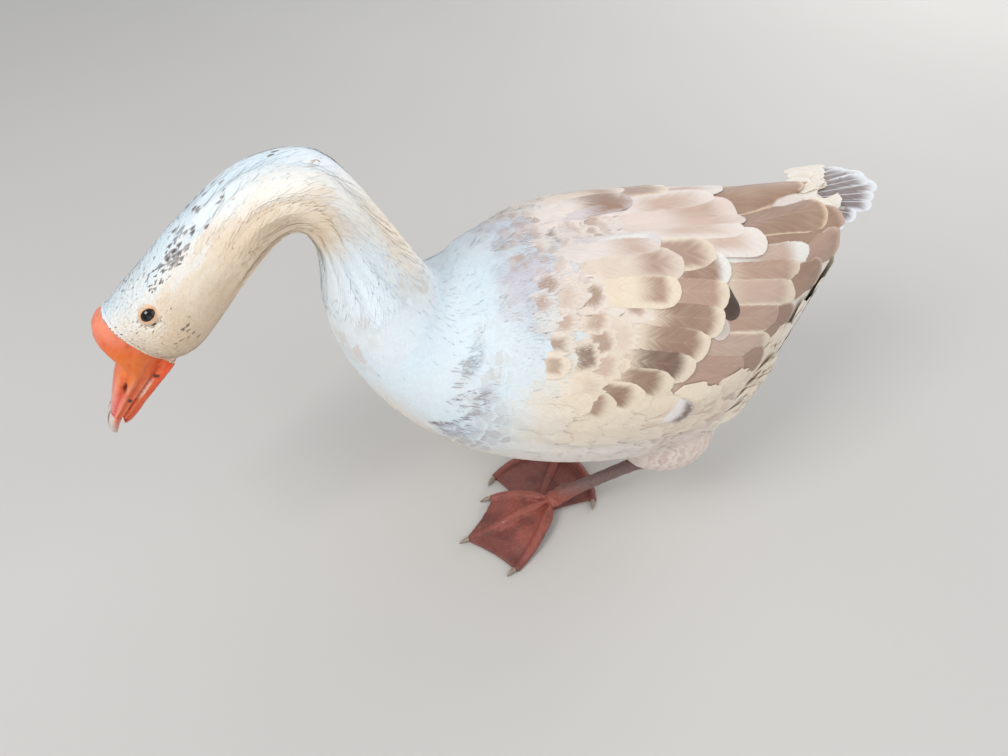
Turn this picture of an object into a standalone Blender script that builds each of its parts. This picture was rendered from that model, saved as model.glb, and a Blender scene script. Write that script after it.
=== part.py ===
"""A domestic goose at life size, standing with its neck arched forward and its bill near the ground.

The goose faces -X and its left side is -Y. Shapes are laid out in millimetres in the goose's own
terms, (forward, left, up) from the ground below the middle of its body, and placed in metres.
"""

import math

import bmesh
import bpy
import numpy as np
from mathutils import Vector

MM = 0.001
GAP = 0.3  # clearance between neighbouring solids
NAME = "domestic_goose"

# Rings from behind the rump to the face. Each row: the ring's back (dorsal) point as forward and up,
# its belly or throat point as forward and up, half its width, and how square its outline is (2 = ellipse).
BODY_RINGS = (
    (-212, 273, -212, 245, 31, 2.0),  # these two only carry the wing tips over the tail
    (-196, 273, -196, 232, 36, 2.0),
    (-172, 272, -172, 207, 37, 2.0),  # tail root, where the trunk begins
    (-140, 269, -140, 153, 55, 2.1),
    (-100, 265, -100, 98, 77, 2.3),
    (-60, 268, -60, 76, 93, 2.35),
    (-5, 273.5, -5, 75, 98, 2.2),
    (45, 275, 48, 83, 96, 2.1),
    (83, 268, 96, 99, 88, 2.0),
    (105, 257, 140, 126, 78, 2.0),
    (116.5, 250.5, 174, 161.5, 67, 2.0),
    (124, 249, 195.5, 197, 57, 2.0),
    (130.5, 255.5, 206.5, 228, 48, 2.0),
    (139, 272, 209.5, 256, 40, 2.0),  # neck base
    (153, 296, 208, 280, 32, 2.0),
    (168.5, 322.5, 208, 298, 27, 2.0),
    (183.5, 347.5, 212, 309, 25, 2.0),
    (200.5, 364.5, 217, 315, 24.5, 2.0),
    (222, 367.5, 224, 316, 24.5, 2.0),
    (244, 362.5, 233, 309, 25, 2.0),
    (262.5, 351, 245.5, 295.5, 25.5, 2.0),
    (282, 335.5, 261, 276.5, 26.5, 2.0),
    (299.5, 319.5, 275, 259.5, 27, 2.05),  # nape
    (315, 304, 287, 246, 28, 2.1),
    (330, 289.8, 299, 238.2, 26.5, 2.1),
    (342.6, 278, 310.5, 236, 19, 2.2),  # face, where the bill begins
)
TAIL_ROOT = 2
NECK_BASE = 13
NECK_RISE = 15.5
NECK_ARCH = 18.5
NECK_FALL = 21.5
FACE = len(BODY_RINGS) - 1

# Rings down the bill, in the same form. The knob is the swelling of the culmen at its base.
UPPER_BILL_RINGS = (
    (343.3, 277.6, 312.9, 238.6, 17.6, 2.3),
    (350.2, 271.8, 316.4, 234.8, 17.4, 2.3),
    (352.2, 262.0, 320.4, 230.4, 17.0, 2.3),
    (348.0, 251.5, 325.0, 225.0, 16.4, 2.4),
    (341.0, 242.5, 329.8, 220.0, 15.6, 2.4),
    (346.6, 232.0, 334.6, 214.2, 15.0, 2.5),
    (351.6, 220.0, 340.4, 208.0, 14.4, 2.5),
    (355.8, 207.0, 346.0, 201.0, 13.4, 2.5),
    (359.4, 197.5, 351.4, 194.6, 11.8, 2.5),
)
LOWER_BILL_RINGS = (
    (312.2, 237.4, 308.9, 233.3, 14.6, 2.2),
    (319.6, 230.2, 314.6, 226.0, 14.0, 2.2),
    (329.4, 219.4, 324.4, 214.8, 12.8, 2.2),
    (340.0, 207.4, 334.8, 202.8, 11.8, 2.2),
    (350.2, 194.6, 346.0, 190.6, 9.8, 2.2),
    (355.0, 188.2, 352.4, 184.4, 6.6, 2.2),
)
NAIL_RINGS = (
    (359.6, 196.9, 351.6, 194.0, 11.4, 2.5),
    (362.2, 189.0, 355.8, 188.0, 9.4, 2.4),
    (363.0, 180.5, 359.0, 180.8, 6.6, 2.2),
    (362.0, 174.2, 360.0, 174.8, 2.6, 2.0),
)
NOSTRIL = (343.6, 0, 223)  # forward, left, up
NOSTRIL_SIZE = (2.6, 5.5, 6.2)  # half sizes across, deep and along the bill

EYE = (313.5, 20.6, 283.5)
EYE_RADIUS = 7.0

# Folded wing: each row is one line from shoulder to feather tip, as its angle from the back's
# midline (degrees), where it starts and where it ends (forward).
WING_LINES = (
    (5, 40, -164),
    (13, 84, -186),
    (28, 102, -192),
    (48, 112, -172),
    (68, 110, -132),
    (86, 98, -86),
    (101, 66, -38),
)
WING_THICKNESS = 7.5
WING_RIM = 2.2
WING_TIPS = 7  # flight feathers that show along the trailing edge
WING_STEP = 7  # how far each tip stands out past the notch beside it

TAIL_LENGTH = 48
TAIL_TIP_UP = 272
TAIL_HALF_WIDTHS = (25, 31)  # at the root and across the fan
TAIL_FALL_OFF = ((0.5, 2.2), (0.3, 3.0))  # shortening of the outermost feather: left, right
TAIL_THICKNESS = (11, 2.4)
TAIL_DROOP = 6  # how much lower the fan's sides are than its middle
TAIL_TILT = 4  # how much the left side drops further and the right side rises
TAIL_SWAY = -12  # how far the tip is turned to the goose's right
TAIL_FEATHERS = 8

# Legs: hock, and the ankle where the toes begin, each (forward, left, up). The left foot has
# stepped on the web of the right one, so its ankle is raised.
LEGS = {
    "left": dict(thigh=(-42, 54, 106), hock=(-27, 49, 64), ankle=(38, 29, 8), lift=8.5),
    "right": dict(thigh=(-58, -54, 106), hock=(-52, -48, 60), ankle=(9, -31, 0), lift=0),
}
# Toes: turn towards the midline (degrees), length to the claw's tip, sideways bow.
TOES = {
    "left": dict(inner=(22, 66, -4), middle=(-8, 92, 0), outer=(-42, 84, 6)),
    "right": dict(inner=(92, 73, -10), middle=(52, 90, 0), outer=(14, 80, 10)),
}
TOE_WIDTHS = (5.4, 3.4)  # half widths at the ankle and behind the claw
TOE_HEIGHTS = (8.4, 5.6)
TOE_START = 6  # distance from the ankle's centre
CLAW_LENGTH = 10
WEB_UP = (0.6, 2.8)  # underside and top of the web
WEB_SAG = 0.03  # how far the web's free edge curves in, for the toes' length
LIFT_REACH = (34, 70)  # the raised foot comes down to the ground between these distances
TOE_NAMES = ("inner", "middle", "outer")
FOOT_LINES = tuple(
    line
    for toe in range(3)
    for line in [("toe", toe, offset) for offset in (-1, -0.75, 0, 0.75, 1)]
    + ([("web", toe, offset) for offset in (0.25, 0.5, 0.75)] if toe < 2 else [])
)
THIGH_RADII = (42, 33, 36)  # along the body, sideways and up
SHANK_RADII = (8.6, 6.0, 5.6, 6.0, 7.6)
HIND_TOE_LENGTH = 14


def rise(value):
    """A smooth step from 0 to 1."""
    value = min(max(value, 0.0), 1.0)
    return value * value * (3 - 2 * value)


def between(rows, place):
    """The row at a fractional place along a list of rows, on a smooth curve through them all."""
    rows = np.asarray(rows, dtype=float)
    rows = np.vstack([2 * rows[0] - rows[1], rows, 2 * rows[-1] - rows[-2]])
    index = min(max(math.floor(place), 0), len(rows) - 4)
    before, start, end, after = rows[index:index + 4]
    t = place - index
    return 0.5 * (
        2 * start
        + (end - before) * t
        + (2 * before - 5 * start + 4 * end - after) * t**2
        + (3 * start - before - 3 * end + after) * t**3
    )


def ring_frame(rows, place):
    """Centre, back direction, forward direction and sizes of the ring at a place."""
    back_f, back_u, front_f, front_u, half_width, square = between(rows, place)
    back = np.array([back_f, 0, back_u])
    front = np.array([front_f, 0, front_u])
    half_depth = np.linalg.norm(back - front) / 2
    up = (back - front) / (2 * half_depth)
    along = np.cross(np.array([0, 1, 0]), up)
    return (back + front) / 2, up, along, half_depth, half_width, square


def ring_point(rows, place, angle, shift=0.0):
    """A point of the ring at an angle from its back point towards the goose's left."""
    centre, up, along, half_depth, half_width, square = ring_frame(rows, place)
    power = 2 / square
    rise_part = math.copysign(abs(math.cos(angle)) ** power, math.cos(angle))
    side_part = math.copysign(abs(math.sin(angle)) ** power, math.sin(angle))
    side = np.array([0, 1, 0])
    return centre + up * half_depth * rise_part + side * half_width * side_part + along * shift


def placed(point):
    """A (forward, left, up) point in millimetres as a position in metres."""
    return Vector((-point[0] * MM, -point[1] * MM, point[2] * MM))


def material(name, colour, roughness, metallic=0.0):
    made = bpy.data.materials.new(name)
    made.use_nodes = True
    shader = made.node_tree.nodes["Principled BSDF"]
    shader.inputs["Base Color"].default_value = (*colour, 1)
    shader.inputs["Roughness"].default_value = roughness
    shader.inputs["Metallic"].default_value = metallic
    made.diffuse_color = (*colour, 1)
    return made


def make_object(name, mesh_bm, surface, collection, root):
    """An object from a bmesh, closed and facing outwards, in metres."""
    bmesh.ops.remove_doubles(mesh_bm, verts=mesh_bm.verts, dist=0.02 * MM)
    bmesh.ops.recalc_face_normals(mesh_bm, faces=mesh_bm.faces)
    mesh = bpy.data.meshes.new(name)
    mesh_bm.to_mesh(mesh)
    mesh_bm.free()
    mesh.shade_smooth()
    mesh.set_sharp_from_angle(angle=math.radians(40))
    made = bpy.data.objects.new(name, mesh)
    made.parent = root
    if surface:
        mesh.materials.append(surface)
    collection.objects.link(made)
    return made


def skin_rings(rings):
    """A bmesh closed over a list of rings of equal count, with a flat cap at each end."""
    made = bmesh.new()
    loops = [[made.verts.new(placed(point)) for point in ring] for ring in rings]
    for one, two in zip(loops, loops[1:]):
        count = len(one)
        for k in range(count):
            made.faces.new((one[k], one[(k + 1) % count], two[(k + 1) % count], two[k]))
    made.faces.new(loops[0])
    made.faces.new(reversed(loops[-1]))
    return made


def loft(rows, start, end, steps, sides):
    """A closed length of a ringed body, its ends drawn back by half a gap."""
    rings = []
    for k in range(steps + 1):
        place = start + (end - start) * k / steps
        shift = {0: GAP / 2, steps: -GAP / 2}.get(k, 0.0)
        rings.append([
            ring_point(rows, place, 2 * math.pi * side / sides, shift) for side in range(sides)
        ])
    return skin_rings(rings)


def tube(points, radii, sides, flat=1.0, steps=None):
    """A closed tube through points, its radius following radii and its height scaled by flat."""
    steps = steps or 3 * (len(points) - 1)
    shares = [k / steps for k in range(steps + 1)]
    centres = [between(points, share * (len(points) - 1)) for share in shares]
    columns = [[radius] for radius in radii]
    widths = [between(columns, share * (len(radii) - 1))[0] for share in shares]
    rings = []
    for k, centre in enumerate(centres):
        along = centres[min(k + 1, steps)] - centres[max(k - 1, 0)]
        along = along / np.linalg.norm(along)
        side = np.cross(along, (0, 0, 1))
        side = side / np.linalg.norm(side)
        up = np.cross(side, along)
        angles = [2 * math.pi * n / sides for n in range(sides)]
        rings.append([
            centre + widths[k] * (side * math.cos(a) + up * flat * math.sin(a)) for a in angles
        ])
    return skin_rings(rings)


def sheet(outer, inner, across, along):
    """A closed thin solid between two surfaces, each a function of (u, v) from 0 to 1."""
    made = bmesh.new()

    def corners(face):
        return [
            [made.verts.new(placed(face(u / along, v / across))) for v in range(across + 1)]
            for u in range(along + 1)
        ]

    top, under = corners(outer), corners(inner)
    for grid in (top, under):
        for u in range(along):
            for v in range(across):
                made.faces.new((grid[u][v], grid[u + 1][v], grid[u + 1][v + 1], grid[u][v + 1]))
    edge = [(0, v) for v in range(across)] + [(u, across) for u in range(along)]
    edge += [(along, v) for v in range(across, 0, -1)] + [(u, 0) for u in range(along, 0, -1)]
    for (u, v), (on_u, on_v) in zip(edge, edge[1:] + edge[:1]):
        made.faces.new((top[u][v], top[on_u][on_v], under[on_u][on_v], under[u][v]))
    return made


def ball(centre, radii, sides=12):
    """An ellipsoid with its radii along the body, sideways and up."""
    made = bmesh.new()
    bmesh.ops.create_uvsphere(made, u_segments=sides, v_segments=2 * sides // 3, radius=1.0)
    bmesh.ops.scale(made, vec=Vector((radii[0], radii[1], radii[2])) * MM, verts=made.verts)
    bmesh.ops.translate(made, vec=placed(centre), verts=made.verts)
    return made


def combine(target, other, operation):
    """Applies a Boolean on the target and removes the other object."""
    modifier = target.modifiers.new(operation, "BOOLEAN")
    modifier.operation = operation
    modifier.object = other
    modifier.solver = "EXACT"
    evaluated = target.evaluated_get(bpy.context.evaluated_depsgraph_get())
    result = bpy.data.meshes.new_from_object(evaluated)
    result.name = target.data.name
    target.modifiers.remove(modifier)
    target.data = result
    bpy.data.objects.remove(other)


class Goose:
    """Builds the named parts into one collection, under one empty."""

    def __init__(self):
        self.parts = bpy.data.collections.new(NAME)
        self.cutters = bpy.data.collections.new(NAME + "_cutters")
        for collection in (self.parts, self.cutters):
            bpy.context.scene.collection.children.link(collection)
        self.root = bpy.data.objects.new(NAME + "_origin", None)
        self.parts.objects.link(self.root)
        self.feathers = material("white_feathers", (0.86, 0.84, 0.79), 0.85)
        self.mottled = material("mottled_feathers", (0.66, 0.56, 0.45), 0.85)
        self.bill = material("orange_bill", (0.85, 0.27, 0.10), 0.45)
        self.horn = material("pale_horn", (0.82, 0.74, 0.60), 0.4)
        self.eye = material("dark_eye", (0.03, 0.02, 0.015), 0.12)
        self.foot = material("pink_foot", (0.62, 0.26, 0.20), 0.6)

    def part(self, name, mesh_bm, surface):
        return make_object(name, mesh_bm, surface, self.parts, self.root)

    def cutter(self, mesh_bm):
        made = make_object("cutter", mesh_bm, None, self.cutters, self.root)
        made.hide_render = True
        made.display_type = "WIRE"
        return made

    def flesh(self):
        """Trunk, neck in four lengths and head, parted by thin cuts across one continuous shape."""
        self.trunk = self.part("trunk", loft(BODY_RINGS, TAIL_ROOT, NECK_BASE, 19, 26), self.feathers)
        lengths = (
            ("neck_base", NECK_BASE, NECK_RISE, 5),
            ("neck_rise", NECK_RISE, NECK_ARCH, 6),
            ("neck_arch", NECK_ARCH, NECK_FALL, 6),
        )
        for name, start, end, steps in lengths:
            self.part(name, loft(BODY_RINGS, start, end, steps, 20), self.feathers)
        self.head = self.part("head", loft(BODY_RINGS, NECK_FALL, FACE, 9, 24), self.feathers)

    def face(self):
        for name, side in (("left", 1), ("right", -1)):
            centre = (EYE[0], EYE[1] * side, EYE[2])
            combine(self.head, self.cutter(ball(centre, [EYE_RADIUS + GAP] * 3)), "DIFFERENCE")
            self.part("eye_" + name, ball(centre, [EYE_RADIUS] * 3), self.eye)
        last = len(UPPER_BILL_RINGS) - 1
        upper = self.part("bill_upper", loft(UPPER_BILL_RINGS, 0, last, 14, 18), self.bill)
        for side in (1, -1):
            centre = (NOSTRIL[0], side * 15, NOSTRIL[2])
            combine(upper, self.cutter(ball(centre, NOSTRIL_SIZE)), "DIFFERENCE")
        last = len(LOWER_BILL_RINGS) - 1
        self.part("bill_lower", loft(LOWER_BILL_RINGS, 0, last, 6, 14), self.bill)
        self.part("bill_nail", loft(NAIL_RINGS, 0, len(NAIL_RINGS) - 1, 5, 12), self.horn)

    def wing(self, name, side):
        """A folded wing lying on the trunk, thickest in the middle, with stepped feather tips."""
        middles = [ring_frame(BODY_RINGS, k)[0][0] for k in range(NECK_BASE)]

        def place_at(forward):
            return float(np.interp(forward, middles, range(NECK_BASE)))

        def surface(u, v, height):
            angle, start, end = between(WING_LINES, v * (len(WING_LINES) - 1))
            tip = (v * WING_TIPS) % 1.0
            step = WING_STEP * (1 - 2 * abs(tip - 0.5)) * rise(3 * u - 2)
            forward = start + (end - step - start) * u
            place = place_at(forward)
            radians = math.radians(angle)
            point = ring_point(BODY_RINGS, place, radians)
            onward = ring_point(BODY_RINGS, place + 0.02, radians) - point
            round_it = ring_point(BODY_RINGS, place, radians + 0.02) - point
            normal = np.cross(round_it, onward)
            normal = normal / np.linalg.norm(normal)
            if normal @ (point - ring_frame(BODY_RINGS, place)[0]) < 0:
                normal = -normal
            point = point + normal * height
            return np.array([point[0], point[1] * side, point[2]])

        def thickness(u, v):
            swell = min(1.0, 4 * u, 3.2 * (1 - u)) * min(1.0, 5 * v, 5 * (1 - v))
            return WING_RIM + (WING_THICKNESS - WING_RIM) * rise(swell)

        solid = sheet(
            lambda u, v: surface(u, v, GAP * 2 + thickness(u, v)),
            lambda u, v: surface(u, v, GAP * 2),
            across=2 * WING_TIPS,
            along=11,
        )
        self.part(name, solid, self.mottled)

    def tail(self):
        """The fan of tail feathers, arched across and thinning to its scalloped end."""
        root_forward = BODY_RINGS[TAIL_ROOT][0]
        root_up = sum(BODY_RINGS[TAIL_ROOT][1:4:2]) / 2 + 14

        def surface(u, v, under):
            across = 2 * v - 1
            feather = (v * TAIL_FEATHERS) % 1.0
            scallop = 3.0 * math.sin(math.pi * feather) * u
            share, power = TAIL_FALL_OFF[0 if across > 0 else 1]
            length = TAIL_LENGTH * (1 - share * abs(across) ** power) + scallop
            width = TAIL_HALF_WIDTHS[0] + (TAIL_HALF_WIDTHS[1] - TAIL_HALF_WIDTHS[0]) * u**0.8
            thick = TAIL_THICKNESS[0] + (TAIL_THICKNESS[1] - TAIL_THICKNESS[0]) * u**0.7
            thick = thick * (1 - 0.5 * across**2) + 0.8
            up = root_up + (TAIL_TIP_UP - root_up) * u
            up -= (TAIL_DROOP * across**2 + TAIL_TILT * across) * (0.6 + 0.4 * u)
            forward = root_forward - GAP / 2 - length * u
            return np.array([forward, width * across + TAIL_SWAY * u, up - thick * under])

        solid = sheet(
            lambda u, v: surface(u, v, 0), lambda u, v: surface(u, v, 1),
            across=2 * TAIL_FEATHERS, along=6,
        )
        self.part("tail", solid, self.mottled)

    def leg(self, name, side):
        spec = LEGS[name]
        thigh, hock, ankle = (np.array(spec[key], dtype=float) for key in ("thigh", "hock", "ankle"))
        grown = [radius + GAP for radius in THIGH_RADII]
        combine(self.trunk, self.cutter(ball(thigh, grown, 18)), "DIFFERENCE")
        self.part("thigh_" + name, ball(thigh, THIGH_RADII, 18), self.feathers)
        joint = ankle + (0, 0, 9)
        to_ankle = (joint - hock) / np.linalg.norm(joint - hock)
        stub = joint - to_ankle * 10
        path = [
            hock - to_ankle * 4, hock + to_ankle * 6, (hock + stub) / 2,
            stub - to_ankle * 14, stub - to_ankle * GAP,
        ]
        shank = self.part("shank_" + name, tube(path, SHANK_RADII, 10, steps=8), self.foot)
        combine(shank, self.cutter(ball(thigh, grown, 18)), "DIFFERENCE")
        self.toes(name, side, ankle, stub, to_ankle)

    def toes(self, name, side, ankle, stub, to_ankle):
        """A webbed foot: three toes joined by webs, a knuckle, a hind toe, and a claw on each."""
        lift = LEGS[name]["lift"]
        centre = np.array([ankle[0], ankle[1], 0])

        def toe_curve(turn, length, bow):
            heading = math.radians(turn)
            ahead = np.array([math.cos(heading), -side * math.sin(heading), 0])
            aside = np.array([math.sin(heading), side * math.cos(heading), 0])
            return lambda reach: (
                centre
                + ahead * (TOE_START + (length - TOE_START) * reach)
                + aside * bow * 4 * reach * (1 - reach)
            )

        def settled(point):
            """The point raised with the heel end of the foot."""
            distance = math.hypot(point[0] - ankle[0], point[1] - ankle[1])
            near, far = LIFT_REACH
            return point + np.array([0, 0, lift * (1 - rise((distance - near) / (far - near)))])

        curves = [toe_curve(*TOES[name][key]) for key in TOE_NAMES]
        ends = [1 - CLAW_LENGTH / TOES[name][key][1] for key in TOE_NAMES]

        def foot_point(u, v, top):
            """A point of the foot, u along the toes and v across them, from the inner to the outer."""
            def across_toe(toe, reach):
                onward = curves[toe](reach + 0.01) - curves[toe](reach - 0.01)
                return np.cross(onward, (0, 0, -side)) / np.linalg.norm(onward)

            centres = [curve(u * end) for curve, end in zip(curves, ends)]
            spread = min(np.linalg.norm(two - one) for one, two in zip(centres, centres[1:]))
            half = min(TOE_WIDTHS[0] + (TOE_WIDTHS[1] - TOE_WIDTHS[0]) * u, 0.42 * spread)
            height = TOE_HEIGHTS[0] + (TOE_HEIGHTS[1] - TOE_HEIGHTS[0]) * u
            kind, toe, offset = FOOT_LINES[round(v * (len(FOOT_LINES) - 1))]
            if kind == "toe":
                point = centres[toe] + across_toe(toe, u * ends[toe]) * half * offset
                crown = math.sqrt(max(1 - offset**2, 0))
                up = WEB_UP[1] + (height - WEB_UP[1]) * crown if top else WEB_UP[0] * (abs(offset) == 1)
            else:
                reach = u * (1 - WEB_SAG * math.sin(math.pi * offset))
                one, two = (
                    curves[k](reach * ends[k]) + across_toe(k, reach * ends[k]) * half * margin
                    for k, margin in ((toe, 1), (toe + 1, -1))
                )
                point = one + (two - one) * offset
                up = WEB_UP[1] if top else WEB_UP[0]
            return settled(np.array([point[0], point[1], up]))

        solid = sheet(
            lambda u, v: foot_point(u, v, True), lambda u, v: foot_point(u, v, False),
            across=len(FOOT_LINES) - 1, along=6,
        )
        foot = self.part("foot_" + name, solid, self.foot)
        knuckle = ball((ankle[0], ankle[1], ankle[2] + 6.5), (8.4, 8.4, 6.3))
        combine(foot, self.cutter(knuckle), "UNION")
        joint = tube([stub, stub + to_ankle * 5, stub + to_ankle * 12], (7.6, 7.4, 5.0), 10, steps=3)
        combine(foot, self.cutter(joint), "UNION")
        hind = ankle + (-8, 0, 9)
        hind_end = ankle + (-HIND_TOE_LENGTH - 4, -side * 5, 3)
        hind_toe = tube([hind + (6, 0, 0), hind, hind_end], (3.6, 3.2, 1.0), 8, steps=3)
        combine(foot, self.cutter(hind_toe), "UNION")
        for key, curve, end in zip(TOE_NAMES, curves, ends):
            start = curve(end + 2.2 * GAP / (TOES[name][key][1] - TOE_START))
            points = [start + (0, 0, 3.2), curve((end + 1) / 2) + (0, 0, 3.2), curve(1.0) + (0, 0, 1.4)]
            claw = tube([settled(point) for point in points], (2.4, 1.9, 0.5), 7, steps=4)
            self.part(f"claw_{name}_{key}", claw, self.horn)


    def settle(self):
        """Puts the origin on the ground below the middle of the whole goose's bounding box."""
        corners = np.array([
            vertex.co for made in self.parts.objects if made.type == "MESH" for vertex in made.data.vertices
        ])
        low, high = corners.min(axis=0), corners.max(axis=0)
        self.root.location = (-(low[0] + high[0]) / 2, -(low[1] + high[1]) / 2, -low[2])


def main():
    for old in list(bpy.data.objects):
        bpy.data.objects.remove(old)
    goose = Goose()
    goose.flesh()
    goose.face()
    goose.tail()
    for name, side in (("left", 1), ("right", -1)):
        goose.wing("wing_" + name, side)
        goose.leg(name, side)
    goose.settle()


main()
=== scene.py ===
"""A life-size domestic goose, standing, with its neck arched forward and its bill near the ground."""
import math

import bmesh
import bpy
import numpy as np
from mathutils import Matrix, Vector, noise
from mathutils.bvhtree import BVHTree


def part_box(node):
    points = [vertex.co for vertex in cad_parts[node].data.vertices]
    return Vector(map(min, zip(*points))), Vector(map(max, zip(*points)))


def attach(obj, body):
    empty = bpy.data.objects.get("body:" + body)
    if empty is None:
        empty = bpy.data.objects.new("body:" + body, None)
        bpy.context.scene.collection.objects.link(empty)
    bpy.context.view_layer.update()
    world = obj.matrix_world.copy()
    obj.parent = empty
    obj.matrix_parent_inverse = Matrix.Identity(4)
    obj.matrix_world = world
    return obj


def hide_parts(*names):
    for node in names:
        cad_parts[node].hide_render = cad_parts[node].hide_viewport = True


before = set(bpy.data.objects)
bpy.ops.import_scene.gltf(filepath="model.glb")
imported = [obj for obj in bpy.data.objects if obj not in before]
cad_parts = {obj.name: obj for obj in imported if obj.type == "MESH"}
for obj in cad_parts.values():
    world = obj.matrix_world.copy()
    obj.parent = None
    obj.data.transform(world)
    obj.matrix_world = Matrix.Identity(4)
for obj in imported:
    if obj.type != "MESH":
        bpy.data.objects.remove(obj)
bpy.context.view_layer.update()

SEED = 20

luck = np.random.default_rng(SEED)

# ---------------------------------------------------------------- lines of the body, in millimetres

EYE_AHEAD = 313.5
HIPS = (sum(corner.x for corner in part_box("eye_left")) / 2) + EYE_AHEAD / 1000
LEFT = Vector((0, -1, 0))

# back line (forward, up), front line (forward, up) and half width, from the tail to the bill
LINES = (
    (-212, 273, -212, 245, 31), (-196, 273, -196, 232, 36), (-172, 272, -172, 207, 37),
    (-140, 269, -140, 153, 55), (-100, 265, -100, 98, 77), (-60, 268, -60, 76, 93),
    (-5, 273.5, -5, 75, 98), (45, 275, 48, 83, 96), (83, 268, 96, 99, 88),
    (105, 257, 140, 126, 78), (116.5, 250.5, 174, 161.5, 67), (124, 249, 195.5, 197, 57),
    (130.5, 255.5, 206.5, 228, 48), (139, 272, 209.5, 256, 40), (153, 296, 208, 280, 32),
    (168.5, 322.5, 208, 298, 27), (183.5, 347.5, 212, 309, 25), (200.5, 364.5, 217, 315, 24.5),
    (222, 367.5, 224, 316, 24.5), (244, 362.5, 233, 309, 25), (262.5, 351, 245.5, 295.5, 25.5),
    (282, 335.5, 261, 276.5, 26.5), (299.5, 319.5, 275, 259.5, 27), (315, 304, 287, 246, 28),
    (330, 289.8, 299, 238.2, 26.5), (342.6, 278, 310.5, 236, 19),
)
FLESH = ("trunk", "neck_base", "neck_rise", "neck_arch", "head", "thigh_left", "thigh_right")


def at(forward, left, up):
    """A place on the goose: ahead of the hips, to its left, above the ground."""
    return Vector((HIPS - forward / 1000, -left / 1000, up / 1000))


def smooth(low, high, value):
    """0 below low, 1 above high, with a soft step between."""
    step = min(max((value - low) / (high - low), 0.0), 1.0)
    return step * step * (3 - 2 * step)


def hump(centre, reach, value):
    """1 at centre, fading to 0 at reach on either side."""
    return 1 - smooth(0.35, 1.0, abs(value - centre) / reach)


def blended(rows, place):
    """A row between those of a table, on a smooth curve through them."""
    here = int(min(max(math.floor(place), 0), len(rows) - 2))
    t = place - here
    before, start = rows[max(here - 1, 0)], rows[here]
    end, after = rows[here + 1], rows[min(here + 2, len(rows) - 1)]
    return [
        0.5 * (2 * b + (c - a) * t + (2 * a - 5 * b + 4 * c - d) * t * t + (3 * b - a - 3 * c + d) * t ** 3)
        for a, b, c, d in zip(before, start, end, after)
    ]


def ring(place):
    """The middle of the body at a place, the way from there to its back line, and its half width."""
    back_forward, back_up, front_forward, front_up, half = blended(LINES, place)
    back, front = at(back_forward, 0, back_up), at(front_forward, 0, front_up)
    return (back + front) / 2, (back - front) / 2, half / 1000


# ---------------------------------------------------------------- meshes

def object_of(mesh, name):
    piece = bpy.data.objects.new(name, mesh)
    bpy.context.scene.collection.objects.link(piece)
    return piece


def add_copy(bm, node, short_wings):
    """Adds a merged copy of a CAD node's mesh to bm, a wing cut short if asked."""
    own = bmesh.new()
    own.from_mesh(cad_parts[node].data)
    bmesh.ops.remove_doubles(own, verts=own.verts, dist=1e-5)
    if short_wings and node.startswith("wing"):
        trim_wing(own)
    mesh = bpy.data.meshes.new("copy")
    own.to_mesh(mesh)
    own.free()
    bm.from_mesh(mesh)
    bpy.data.meshes.remove(mesh)


def trim_wing(bm):
    """Cuts the flesh of a wing short of its flight feathers' ends."""
    start, end = at(-165, 0, 262), at(-10, 0, 163)
    along = (end - start).normalized()
    across = Vector((along.z, 0, -along.x))
    across = across if across.x > 0 else -across
    everything = bm.verts[:] + bm.edges[:] + bm.faces[:]
    cut = bmesh.ops.bisect_plane(bm, geom=everything, plane_co=start, plane_no=across, clear_outer=True)
    edges = [e for e in cut["geom_cut"] if isinstance(e, bmesh.types.BMEdge)]
    bmesh.ops.holes_fill(bm, edges=edges)


def wrapped(nodes, name, voxel, passes, fill=0.0, short_wings=False):
    """One smooth closed surface round several CAD nodes. Creases narrower than twice fill are filled."""
    bm = bmesh.new()
    for node in nodes:
        add_copy(bm, node, short_wings)
    mesh = bpy.data.meshes.new(name)
    bm.to_mesh(mesh)
    bm.free()
    piece = object_of(mesh, name)
    for swell in ((fill, -fill) if fill else (0.0,)):
        wrap = piece.modifiers.new("wrap", "REMESH")
        wrap.mode, wrap.voxel_size, wrap.use_smooth_shade = "VOXEL", voxel, True
        if swell:
            grow = piece.modifiers.new("grow", "DISPLACE")
            grow.strength, grow.mid_level = swell, 0.0
    soften = piece.modifiers.new("soften", "SMOOTH")
    soften.factor, soften.iterations = 0.5, passes
    done = bpy.data.meshes.new_from_object(piece.evaluated_get(bpy.context.evaluated_depsgraph_get()))
    piece.modifiers.clear()
    piece.data = done
    done.name = name
    bpy.data.meshes.remove(mesh)
    return piece


def places(mesh):
    found = np.empty(len(mesh.vertices) * 3, np.float32)
    mesh.vertices.foreach_get("co", found)
    return found.reshape(-1, 3).astype(float)


def facings(mesh):
    found = np.empty(len(mesh.vertices) * 3, np.float32)
    mesh.vertices.foreach_get("normal", found)
    return found.reshape(-1, 3).astype(float)


def moved(mesh, points):
    mesh.vertices.foreach_set("co", points.astype(np.float32).ravel())
    mesh.update()


def painted(mesh, name, colours):
    """Stores a colour for each vertex."""
    layer = mesh.attributes.new(name, "FLOAT_COLOR", "POINT")
    layer.data.foreach_set("color", np.asarray(colours, np.float32).ravel())


# ---------------------------------------------------------------- the surface that the feathers lie on

CREASE = 0.004  # narrower creases than twice this are filled
WINGS = ("wing_left", "wing_right")

outline = wrapped(FLESH + WINGS + ("tail", "bill_upper", "bill_lower"), "outline", 0.0017, 8, CREASE)
GUIDE = BVHTree.FromPolygons(
    [v.co for v in outline.data.vertices], [tuple(f.vertices) for f in outline.data.polygons]
)
bpy.data.objects.remove(outline)


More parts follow.
